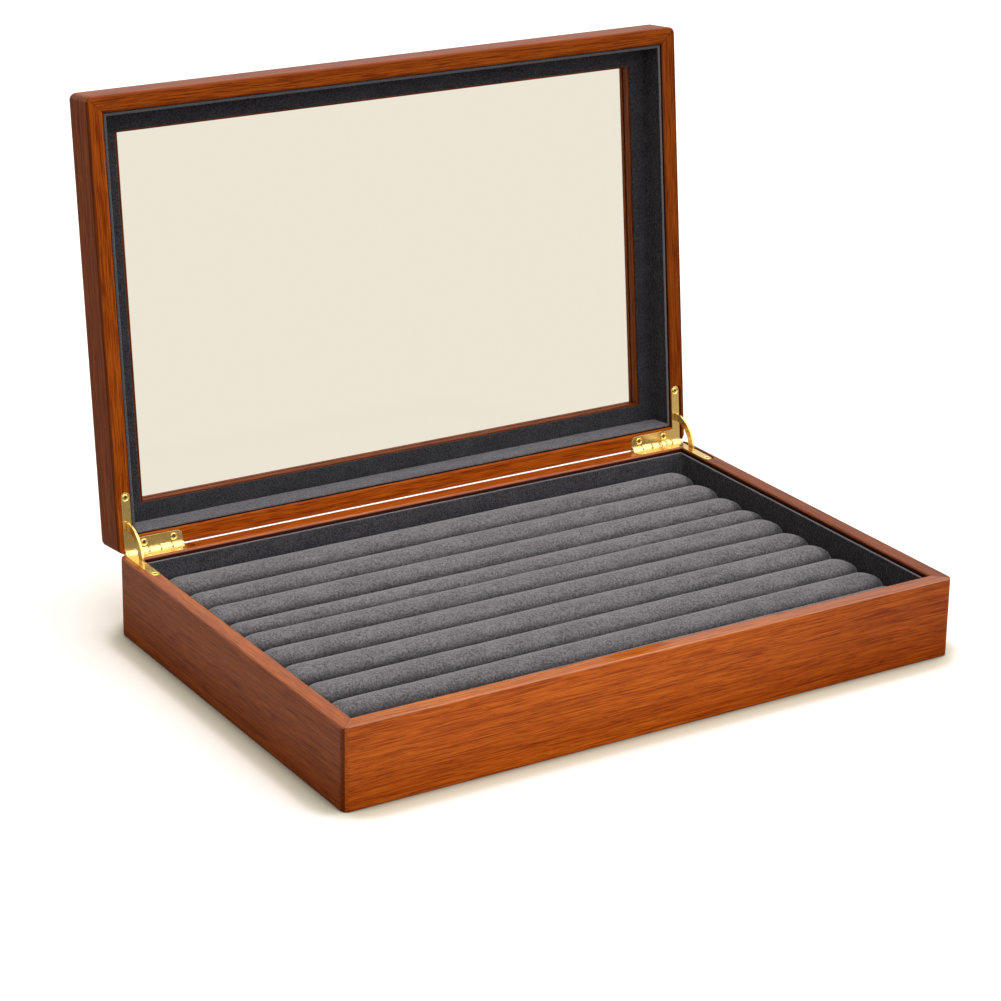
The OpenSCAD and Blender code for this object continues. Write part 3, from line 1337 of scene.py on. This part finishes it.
@dataclass
class RingRolls:
    """The ten padded rolls, blown up as cloth and pressed against each other.

    A span is a roll's share of the tray behind and ahead of its middle. A lean is how
    far back its right end lies from its middle, in millimetres.
    """

    box: BoxFrame
    material: bpy.types.Material
    spans: tuple[tuple[float, float], ...] = (
        (9.2, 10.1),
        (10.2, 8.8),
        (8.7, 9.8),
        (9.7, 5.2),
        (7.2, 9.6),
        (9.7, 8.6),
        (8.7, 10.1),
        (10.1, 8.9),
        (8.9, 8.7),
        (8.8, 10.0),
    )
    leans: tuple[float, ...] = (0.1, 1.1, -1.0, 0.9, 0.0, -1.0, 0.3, 1.0, 1.3, 0.5)
    rings: int = 74
    sides: int = 32
    dome: float = 10.3 * MM
    dome_power: float = 1.4
    dome_root: float = 0.75
    end_share: float = 0.45
    least_share: float = 0.06
    lump_share: float = 0.018
    lump_length: float = 26 * MM
    lump_apart: int = 5
    slack: float = 0.35 * MM
    largest_move: float = 0.7 * MM
    frames: int = 16

    def build(self) -> list[bpy.types.Object]:
        """Builds every roll.

        Returns:
            The rolls, from the back.
        """
        rolls = []
        for place in self._places():
            rolls.append(self._roll(place))
            LOG.info("built roll %d", place.number)
        return rolls

    def _places(self) -> list[RollPlace]:
        """Shares the tray out among the rolls, which lie a little unevenly.

        Returns:
            Their places, from the back.
        """
        boxes = [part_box(f"ring_roll_{i + 1}") for i in range(len(self.spans))]
        gap = boxes[0][0].y - boxes[1][1].y
        back, front = boxes[0][1].y, boxes[-1][0].y
        unit = (back - front + gap) / sum(sum(span) for span in self.spans)
        edges = [back + gap / 2]
        centres = []
        for behind, ahead in self.spans:
            centres.append(edges[-1] - behind * unit)
            edges.append(edges[-1] - (behind + ahead) * unit)
        leans = [lean * MM for lean in self.leans]
        edge_leans = [0.0, *((a + b) / 2 for a, b in zip(leans, leans[1:])), 0.0]
        places = []
        for i, (low, high) in enumerate(boxes):
            places.append(
                RollPlace(
                    number=i + 1,
                    centre=Vector((0.0, centres[i], (low.z + high.z) / 2)),
                    lean=leans[i],
                    back=(edges[i] - gap / 2, edge_leans[i]),
                    front=(edges[i + 1] + gap / 2, edge_leans[i + 1]),
                    half_length=high.x,
                    half_height=(high.z - low.z) / 2,
                )
            )
        return places

    def _roll(self, place: RollPlace) -> bpy.types.Object:
        """Builds one roll.

        Args:
            place: Where it lies.

        Returns:
            The roll.
        """
        name = f"velvet_roll_{place.number}"
        roll = mesh_object(name, self._tube(place), math.pi)
        self._inflate(roll, place)
        dress(roll, self.material)
        smooth = roll.modifiers.new("smooth", "SUBSURF")
        smooth.levels = smooth.render_levels = 1
        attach(roll, "base")
        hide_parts(f"ring_roll_{place.number}")
        return roll

    def _tube(self, place: RollPlace) -> bmesh.types.BMesh:
        """Lofts the roll before it is blown up.

        Args:
            place: Where it lies.

        Returns:
            The closed shape.
        """
        shape = bmesh.new()
        loops = []
        reach = place.half_length
        for i in range(1, self.rings):
            x = -math.cos(math.pi * i / self.rings) * reach
            over = max(0.0, abs(x) - (reach - self.dome)) / self.dome
            domed = max(0.0, 1 - over**self.dome_power) ** self.dome_root
            swell = self.end_share + (1 - self.end_share) * domed
            middle, behind, ahead = place.section(x / reach)
            loop = []
            for k in range(self.sides):
                angle = 2 * math.pi * k / self.sides
                across, up = math.cos(angle), math.sin(angle)
                spot = Vector((x / self.lump_length, across + place.number * self.lump_apart, up))
                lump = noise.noise(spot)
                lumpy = swell * (1 + self.lump_share * lump)
                size = max(lumpy - self.slack / place.half_height, self.least_share)
                y = middle + (behind if across > 0 else ahead) * size * across
                loop.append(shape.verts.new((x, y, place.centre.z + place.half_height * size * up)))
            loops.append(loop)
        join_rings(shape, loops)
        for loop in (loops[0], loops[-1]):
            hub = sum((v.co for v in loop), Vector()) / len(loop)
            middle_point = shape.verts.new(hub)
            for k in range(self.sides):
                shape.faces.new((loop[k], loop[(k + 1) % self.sides], middle_point))
        return shape

    def _inflate(self, roll: bpy.types.Object, place: RollPlace) -> None:
        """Blows the cover up as cloth and presses it into its place.

        Args:
            roll: The roll.
            place: Where it lies.
        """
        start = [v.co.copy() for v in roll.data.vertices]
        cloth = roll.modifiers.new("cover", "CLOTH")
        cloth.settings.quality = 6
        cloth.settings.mass = 0.3
        cloth.settings.use_pressure = True
        cloth.settings.uniform_pressure_force = 4.0
        cloth.settings.tension_stiffness = 20.0
        cloth.settings.compression_stiffness = 20.0
        cloth.settings.effector_weights.gravity = 0.0
        cloth.collision_settings.use_collision = False
        cloth.point_cache.frame_start = 1
        cloth.point_cache.frame_end = self.frames
        scene = bpy.context.scene
        for number in range(1, self.frames + 1):
            scene.frame_set(number)
        evaluated = roll.evaluated_get(bpy.context.evaluated_depsgraph_get())
        blown = [v.co.copy() for v in evaluated.data.vertices]
        roll.modifiers.remove(cloth)
        for vertex, was, now in zip(roll.data.vertices, start, blown):
            move = now - was
            if move.length > self.largest_move:
                move *= self.largest_move / move.length
            x, y, z = was + move
            x = min(max(x, -place.half_length), place.half_length)
            middle, behind, ahead = place.section(x / place.half_length)
            y = min(max(y, middle - ahead), middle + behind)
            z = min(max(z, place.centre.z - place.half_height), place.centre.z + place.half_height)
            vertex.co = (x, y, z)
        scene.frame_set(1)


@dataclass
class Linings:
    """The velvet-covered cards of the base and the lid."""

    box: BoxFrame
    velvets: dict[CardShade, bpy.types.Material]
    round_off: float = 0.5 * MM
    outline_pitch: float = 3 * MM
    border_overlap: float = 0.32 * MM
    border_least: float = 1 * MM
    smooth_below: float = math.radians(50)

    def build(self) -> list[bpy.types.Object]:
        """Builds every lining and the border round the window.

        Returns:
            The pieces.
        """
        made = []
        for side in Side:
            for body in ("base", "lid"):
                node = f"{body}_lining_{side.value}"
                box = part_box(node) if body == "base" else self.box.shut_box(node)
                made.append(self._piece(f"{body}_card_{side.value}", node, body, [side], box))
        box = self.box.shut_box("lid_border")
        made.append(self._piece("window_border", "lid_border", "lid", list(Side), box))
        return made

    def _piece(
        self, name: str, node: str, body: str, sides: list[Side], box: tuple[Vector, Vector]
    ) -> bpy.types.Object:
        """Builds one card in the place of its solid.

        Args:
            name: The piece's name.
            node: The solid that it stands for.
            body: The body that it rides on.
            sides: The sides that it runs along.
            box: The solid's corners, in the shut box.

        Returns:
            The piece.
        """
        low, high = box
        if len(sides) == 1:
            inset = self._insets(sides[0], low, high)
        else:
            outer = self.box.half_width - high.x
            inset = (outer - self.border_overlap, outer + self._border_width())
        thinnest = min(high.z - low.z, inset[1] - inset[0])
        radius = min(self.round_off, thinnest / 2.2)
        corner, far_corner = (inset[0], low.z), (inset[1], high.z)
        outline = rounded_outline(corner, far_corner, radius, self.outline_pitch)
        rim_height = high.z if body == "base" else low.z
        strip = MitredStrip(self.box.half_width, self.box.half_depth, outline, rim_height)
        shape = strip.shape(sides)
        if body == "lid":
            shape.transform(self.box.opening)
        piece = mesh_object(name, shape, self.smooth_below)
        dress(piece, self.velvets[self._card_shade(body, sides)])
        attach(piece, body)
        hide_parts(node)
        LOG.info("built %s", name)
        return piece

    @staticmethod
    def _card_shade(body: str, sides: list[Side]) -> CardShade:
        """Chooses which lit or shaded copy of the velvet a card gets.

        Args:
            body: The body that the card rides on.
            sides: The sides that it runs along.

        Returns:
            Its copy of the velvet.
        """
        if len(sides) > 1:
            return CardShade.BORDER
        if body == "lid" and sides == [Side.BACK]:
            return CardShade.BRUSHED
        if body == "lid" and sides != [Side.RIGHT]:
            return CardShade.EVEN
        return CardShade.PLAIN if sides[0].runs_along_x else CardShade.SHADED

    def _insets(self, side: Side, low: Vector, high: Vector) -> tuple[float, float]:
        """Finds how far in from the outside a card lies.

        Args:
            side: The card's side.
            low: Its lowest corner.
            high: Its highest corner.

        Returns:
            The inset of its outer and inner face.
        """
        reach = self.box.half_depth if side.runs_along_x else self.box.half_width
        near = {
            Side.FRONT: (-low.y, -high.y),
            Side.RIGHT: (high.x, low.x),
            Side.BACK: (high.y, low.y),
            Side.LEFT: (-low.x, -high.x),
        }[side]
        return reach - near[0], reach - near[1]

    def _border_width(self) -> float:
        """Measures the border's width from its solid.

        Returns:
            The width, in metres.
        """
        across = [point.x for point in self.box.shut_points("lid_border")]
        outer = max(across)
        return outer - max(x for x in across if x < outer - self.border_least)


SCREW_SIZES = (
    "Head Radius",
    "Head Depth",
    "Crown Radius",
    "Crown Height",
    "Shank Radius",
    "Length",
    "Recess Length",
    "Recess Width",
    "Recess Depth",
)


@dataclass
class ScrewRow:
    """Countersunk screws with a cross recess, repeated by one node tree."""

    box: BoxFrame
    material: bpy.types.Material
    # Painted shade for the faces of the cross recess.
    recess_shade_material: bpy.types.Material
    sunk: float = 0.24 * MM
    head_radius: float = 1.38 * MM
    head_depth: float = 0.55 * MM
    crown_radius: float = 0.98 * MM
    crown_height: float = 0.26 * MM
    shank_radius: float = 0.78 * MM
    length: float = 7.6 * MM
    recess_length: float = 1.45 * MM
    recess_width: float = 0.42 * MM
    recess_depth: float = 1.1 * MM
    shank_drop: float = 1.02
    tip_share: float = 0.35
    facets: int = 32
    seed: int = 7

    def build(self) -> list[bpy.types.Object]:
        """Builds the screws of the base leaves and of the lid leaves.

        Returns:
            One piece for each body.
        """
        tree = self._tree()
        return [self._set("base", tree), self._set("lid", tree)]

    def _set(self, body: str, tree: bpy.types.NodeTree) -> bpy.types.Object:
        """Builds the screws of one body.

        Args:
            body: The body.
            tree: The node tree that repeats the screw.

        Returns:
            The piece.
        """
        nodes = [f"{body}_screw_{hand.value}_{i}" for hand in Hand for i in (1, 2, 3)]
        shape = bmesh.new()
        for node in nodes:
            low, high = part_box(node) if body == "base" else self.box.shut_box(node)
            face = high.z - self.sunk if body == "base" else low.z + self.sunk
            shape.verts.new(((low.x + high.x) / 2, (low.y + high.y) / 2, face))
        points = mesh_object(f"{body}_screws", shape, math.pi)
        modifier = points.modifiers.new("screws", "NODES")
        modifier.node_group = tree
        down = 0.0 if body == "base" else math.pi
        values = {name: getattr(self, name.lower().replace(" ", "_")) for name in SCREW_SIZES}
        values |= {
            "Turned Over": down,
            "Seed": self.seed,
            "Material": self.material,
            "Recess Material": self.recess_shade_material,
        }
        for item in tree.interface.items_tree:
            if item.in_out == "INPUT" and item.name in values:
                modifier[item.identifier] = values[item.name]
        bpy.context.view_layer.update()
        evaluated = points.evaluated_get(bpy.context.evaluated_depsgraph_get())
        mesh = bpy.data.meshes.new_from_object(evaluated)
        points.modifiers.clear()
        points.data = mesh
        if body == "lid":
            mesh.transform(self.box.opening)
        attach(points, body)
        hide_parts(*nodes)
        LOG.info("built %s: %d faces", points.name, len(mesh.polygons))
        return points

    def _tree(self) -> bpy.types.NodeTree:
        """Makes the node tree: one screw, on every point, at a random turn.

        Returns:
            The tree.
        """
        tree = bpy.data.node_groups.new("countersunk_screws", "GeometryNodeTree")
        panel = tree.interface
        panel.new_socket("Geometry", in_out="INPUT", socket_type="NodeSocketGeometry")
        inputs = {name: "Float" for name in (*SCREW_SIZES, "Turned Over")}
        inputs |= {"Seed": "Int", "Material": "Material", "Recess Material": "Material"}
        for name, kind in inputs.items():
            panel.new_socket(name, in_out="INPUT", socket_type=f"NodeSocket{kind}")
        panel.new_socket("Geometry", in_out="OUTPUT", socket_type="NodeSocketGeometry")
        out = tree.nodes.new("NodeGroupInput").outputs
        link = tree.links.new

        def add(kind: str, links: dict[str | int, object], **settings: object) -> bpy.types.Node:
            """Adds a node.

            Args:
                kind: The node's type.
                links: Links or values for its inputs.
                settings: Its properties, which are set first.

            Returns:
                The node.
            """
            made = tree.nodes.new(kind)
            for name, value in settings.items():
                setattr(made, name, value)
            for name, value in links.items():
                if isinstance(value, bpy.types.NodeSocket):
                    link(value, made.inputs[name])
                else:
                    made.inputs[name].default_value = value
            return made

        def times(value: bpy.types.NodeSocket, share: float) -> bpy.types.NodeSocket:
            """Multiplies a length by a share, which may be negative."""
            return add("ShaderNodeMath", {0: value, 1: share}, operation="MULTIPLY").outputs[0]

        def vector(x: object, y: object, z: object) -> bpy.types.NodeSocket:
            """Joins three lengths to a vector."""
            return add("ShaderNodeCombineXYZ", {"X": x, "Y": y, "Z": z}).outputs[0]

        def cone(top: object, bottom: object, depth: object, foot: object) -> bpy.types.NodeSocket:
            """Makes a cone between two radii.

            Args:
                top: The radius of its top.
                bottom: The radius of its foot.
                depth: How high it is.
                foot: The height of its foot.

            Returns:
                The cone.
            """
            sizes = {"Radius Top": top, "Radius Bottom": bottom, "Depth": depth}
            made = add("GeometryNodeMeshCone", {"Vertices": self.facets, **sizes}).outputs["Mesh"]
            place = {"Geometry": made, "Translation": vector(0.0, 0.0, foot)}
            return add("GeometryNodeTransform", place).outputs[0]

        def union(*parts: bpy.types.NodeSocket) -> bpy.types.NodeSocket:
            """Joins closed parts to one closed mesh.

            Args:
                parts: The parts.

            Returns:
                The mesh.
            """
            made = add("GeometryNodeMeshBoolean", {}, operation="UNION", solver="EXACT")
            for part in parts:
                link(part, made.inputs["Mesh 2"])
            return made.outputs["Mesh"]

        seat = times(out["Head Depth"], -1.0)
        tip = times(out["Length"], -self.shank_drop)
        tip_radius = times(out["Shank Radius"], self.tip_share)
        head = cone(out["Head Radius"], out["Shank Radius"], out["Head Depth"], seat)
        crown = cone(out["Crown Radius"], out["Head Radius"], out["Crown Height"], 0.0)
        shank = cone(out["Shank Radius"], tip_radius, out["Length"], tip)
        arms = []
        for across in (("Recess Length", "Recess Width"), ("Recess Width", "Recess Length")):
            size = vector(out[across[0]], out[across[1]], out["Recess Depth"])
            arms.append(add("GeometryNodeMeshCube", {"Size": size}).outputs["Mesh"])
        marked = add(
            "GeometryNodeStoreNamedAttribute",
            {"Geometry": union(*arms), "Name": "recess", "Value": True},
            data_type="BOOLEAN",
            domain="FACE",
        )
        cut = add(
            "GeometryNodeMeshBoolean",
            {"Mesh 1": union(head, crown, shank), "Mesh 2": marked.outputs[0]},
            operation="DIFFERENCE",
            solver="EXACT",
        )
        float_max, float_value = 3, 1
        limits = {float_max: math.pi / 2, "Seed": out["Seed"]}
        spin = add("FunctionNodeRandomValue", limits, data_type="FLOAT").outputs[float_value]
        turn = vector(out["Turned Over"], 0.0, spin)
        row = {"Points": out["Geometry"], "Instance": cut.outputs["Mesh"], "Rotation": turn}
        placed = add("GeometryNodeInstanceOnPoints", row)
        real = add("GeometryNodeRealizeInstances", {"Geometry": placed.outputs[0]})
        inside = add("GeometryNodeInputNamedAttribute", {"Name": "recess"}, data_type="BOOLEAN")
        whole = {"Geometry": real.outputs[0], "Material": out["Material"]}
        plated = add("GeometryNodeSetMaterial", whole).outputs[0]
        # The faces of the cross recess take the painted shade.
        cross = {"Selection": inside.outputs[0], "Material": out["Recess Material"]}
        dressed = add("GeometryNodeSetMaterial", {"Geometry": plated, **cross}).outputs[0]
        add("NodeGroupOutput", {0: dressed})
        return tree


@dataclass
class Hinges:
    """The brass leaves, pins and stays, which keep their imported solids."""

    box: BoxFrame
    knuckles: int = 5
    edge: float = 0.14 * MM
    # A darker, shaded copy of the brass for the base leaves.
    shaded_seat_colour: Colour = (0.72, 0.48, 0.14)
    shaded_seat_rubbed: Colour = (0.80, 0.57, 0.22)

    def build(self) -> bpy.types.Material:
        """Dresses every brass piece.

        Returns:
            The brass, which the screws share.
        """
        low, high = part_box("hinge_pin_right")
        knuckle = (high.x - low.x) / self.knuckles
        joints = tuple(low.x + knuckle * i for i in range(1, self.knuckles))
        brass = Brass(axis=self.box.hinge, joints=joints)
        # The base leaves get a darker, shaded copy of the brass.
        shaded_seat = replace(brass, colour=self.shaded_seat_colour, rubbed=self.shaded_seat_rubbed)
        polished, shaded_brass = brass.material("brass"), shaded_seat.material("seat_brass")
        for family in ("base_leaf", "lid_leaf", "hinge_pin", "hinge_stay"):
            for hand in Hand:
                solid = self.box.nodes[f"{family}_{hand.value}"]
                dress(solid, shaded_brass if family == "base_leaf" else polished)
                soften_edges(solid, self.edge)
                LOG.info("dressed %s", solid.name)
        return polished


@dataclass
class Studio:
    """The floor, the light and the camera."""

    lens_mm: float = 107.63
    sensor_mm: float = 36.0
    shift_y: float = -0.1104
    camera_place: Vector = field(default_factory=lambda: Vector((-651.8, -1005.9, 527.7)) * MM)
    yaw: float = math.radians(32.177)
    pitch: float = math.radians(18.923)
    roll: float = math.radians(0.889)
    floor_half: float = 30.0
    cream: Colour = (0.847, 0.791, 0.665)
    shadow: Colour = (0.26, 0.17, 0.05)
    floor_lit: Colour = (0.90, 0.93, 0.99)
    # Painted contact shadow and seam line on the floor near the box.
    contact_shadow: Colour = (0.70, 0.66, 0.52)
    contact_shadow_reach: float = 18 * MM
    contact_shadow_open: tuple[float, float] = (0.94, 0.70)
    seam_shadow: Colour = (0.07, 0.045, 0.03)
    seam_shadow_open: tuple[float, float] = (0.62, 0.48)
    seam_shadow_share: float = 0.6
    white: Colour = (1.0, 1.0, 1.0)
    floor_bounce: Colour = (0.42, 0.40, 0.37)
    floor_mirror: Colour = (0.46, 0.43, 0.38)
    mirror_strength: float = 1.0
    ambient: float = 0.25

    def build(self) -> None:
        """Builds the whole stage."""
        self._camera()
        self._floor()
        self._world()
        self._sun("key", Vector((0.40, -0.55, 0.75)), strength=2.6, width_deg=110.0)
        self._sun("overhead", Vector((0.1, 0.1, 1.0)), strength=1.1, width_deg=80.0)
        bpy.context.scene.view_settings.view_transform = "Standard"

    def _camera(self) -> None:
        """Places the camera a little above the front left corner."""
        data = bpy.data.cameras.new("camera")
        data.lens = self.lens_mm
        data.sensor_width = self.sensor_mm
        data.shift_y = self.shift_y
        data.clip_start = 0.05
        data.clip_end = 100.0
        camera = bpy.data.objects.new("camera", data)
        forward = Vector(
            (
                math.sin(self.yaw) * math.cos(self.pitch),
                math.cos(self.yaw) * math.cos(self.pitch),
                -math.sin(self.pitch),
            )
        )
        level = Vector((math.cos(self.yaw), -math.sin(self.yaw), 0.0))
        upright = level.cross(forward)
        right = level * math.cos(self.roll) + upright * math.sin(self.roll)
        up = upright * math.cos(self.roll) - level * math.sin(self.roll)
        turn = Matrix((right, up, -forward)).transposed()
        camera.matrix_world = Matrix.Translation(self.camera_place) @ turn.to_4x4()
        bpy.context.scene.collection.objects.link(camera)
        bpy.context.scene.camera = camera

    def _floor(self) -> None:
        """Lays a pale floor that keeps the shadow, paints a contact shadow and a dark seam line
        under the box by ambient occlusion, and shows cream through glass.
        """
        h = self.floor_half
        mesh = bpy.data.meshes.new("floor")
        mesh.from_pydata([(-h, -h, 0), (h, -h, 0), (h, h, 0), (-h, h, 0)], [], [(0, 1, 2, 3)])
        floor = bpy.data.objects.new("floor", mesh)
        bpy.context.scene.collection.objects.link(floor)
        finish = Finish("floor")
        tree = finish.tree
        diffuse, glow = "ShaderNodeBsdfDiffuse", "ShaderNodeEmission"
        lit = {0: tree.shader(diffuse, self.floor_lit), 1: tree.shader(glow, self.shadow)}
        seen = tree.term("ShaderNodeAddShader", {}, lit)
        # Painted contact shadow and seam line, placed by ambient occlusion.
        reach = {"Distance": self.contact_shadow_reach}
        openness = tree.term("ShaderNodeAmbientOcclusion", {}, reach, "AO")
        touching = tree.step(openness, *self.contact_shadow_open)
        seen = tree.blend(touching, seen, tree.shader(diffuse, self.contact_shadow))
        under = tree.step(openness, *self.seam_shadow_open) * self.seam_shadow_share
        seen = tree.blend(under, seen, tree.shader(diffuse, self.seam_shadow))
        bounce = tree.shader(diffuse, self.floor_bounce)
        mirrored = tree.shader(glow, self.floor_mirror)
        finish.end(tree.by_ray(bounce, seen, mirrored, tree.shader(glow, self.cream)))
        dress(floor, finish.material)

    def _world(self) -> None:
        """Makes a plain pale world that shows white behind the object."""
        world = bpy.data.worlds.new("studio")
        world.use_nodes = True
        bpy.context.scene.world = world
        tree = ShaderTree(world.node_tree)
        looks = (
            (self.white, self.ambient),
            (self.white, 1.0),
            (self.white, self.mirror_strength),
            (self.cream, 1.0),
        )
        shaders = [
            tree.term("ShaderNodeBackground", {}, {"Color": (*colour, 1.0), "Strength": strength})
            for colour, strength in looks
        ]
        tree.node("ShaderNodeOutputWorld", {}, {"Surface": tree.by_ray(*shaders)})

    @staticmethod
    def _sun(name: str, towards: Vector, strength: float, width_deg: float) -> None:
        """Adds a broad distant lamp.

        Args:
            name: The lamp's name.
            towards: The direction in which it stands.
            strength: Its strength.
            width_deg: How broad it looks, in degrees.
        """
        data = bpy.data.lights.new(name, "SUN")
        data.energy = strength
        data.angle = math.radians(width_deg)
        lamp = bpy.data.objects.new(name, data)
        lamp.rotation_euler = towards.to_track_quat("Z", "Y").to_euler()
        bpy.context.scene.collection.objects.link(lamp)


def roll_velvet() -> RollVelvet:
    """Mixes the grey velvet of the rolls.

    Returns:
        The velvet.
    """
    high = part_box("ring_roll_1")[1]
    dark, light = (0.075, 0.069, 0.071), (0.240, 0.222, 0.229)
    return RollVelvet(dark, light, crest=high.z, half_length=high.x)


def card_velvets() -> dict[CardShade, Velvet]:
    """Mixes the darker velvets of the cards, lit and shaded copies of one velvet.

    Returns:
        The velvet of each copy.
    """
    fine = 0.70 * MM
    # Colours of the painted highlight along the cards' top edges.
    edge, faint_edge_highlight = (0.25, 0.23, 0.24), (0.15, 0.145, 0.155)
    return {
        CardShade.PLAIN: Velvet((0.020, 0.019, 0.021), (0.095, 0.091, 0.099), fine, sheen=0.5, edge=edge),
        CardShade.SHADED: Velvet((0.004, 0.004, 0.005), (0.050, 0.047, 0.052), sheen=0.45, edge=edge),
        CardShade.BRUSHED: Velvet((0.020, 0.019, 0.021), (0.150, 0.145, 0.162), edge=edge),
        CardShade.EVEN: Velvet((0.010, 0.010, 0.011), (0.070, 0.067, 0.074), fine, sheen=0.3, edge=faint_edge_highlight),
        CardShade.BORDER: Velvet((0.014, 0.014, 0.015), (0.062, 0.059, 0.067), fine, sheen=0.3),
    }


def main() -> None:
    """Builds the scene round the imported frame."""
    logging.basicConfig(level=logging.INFO, format="%(name)s: %(message)s")
    box = BoxFrame.read(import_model())
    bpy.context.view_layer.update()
    Studio().build()
    WoodenCase(box).build()
    RingRolls(box, roll_velvet().material("roll_velvet")).build()
    velvets = {nap: velvet.material(f"{nap.value}_velvet") for nap, velvet in card_velvets().items()}
    Linings(box, velvets).build()
    brass = Hinges(box).build()
    # Painted shade: a dark brass for the faces of the screws' cross recesses.
    recess = Brass(colour=(0.10, 0.06, 0.015), rubbed=(0.16, 0.10, 0.03), roughness=0.4)
    ScrewRow(box, brass, recess.material("screw_recess")).build()
    dress(box.nodes["window_glass"], WindowGlass().material("window_glass"))


if __name__ == "__main__":
    main()
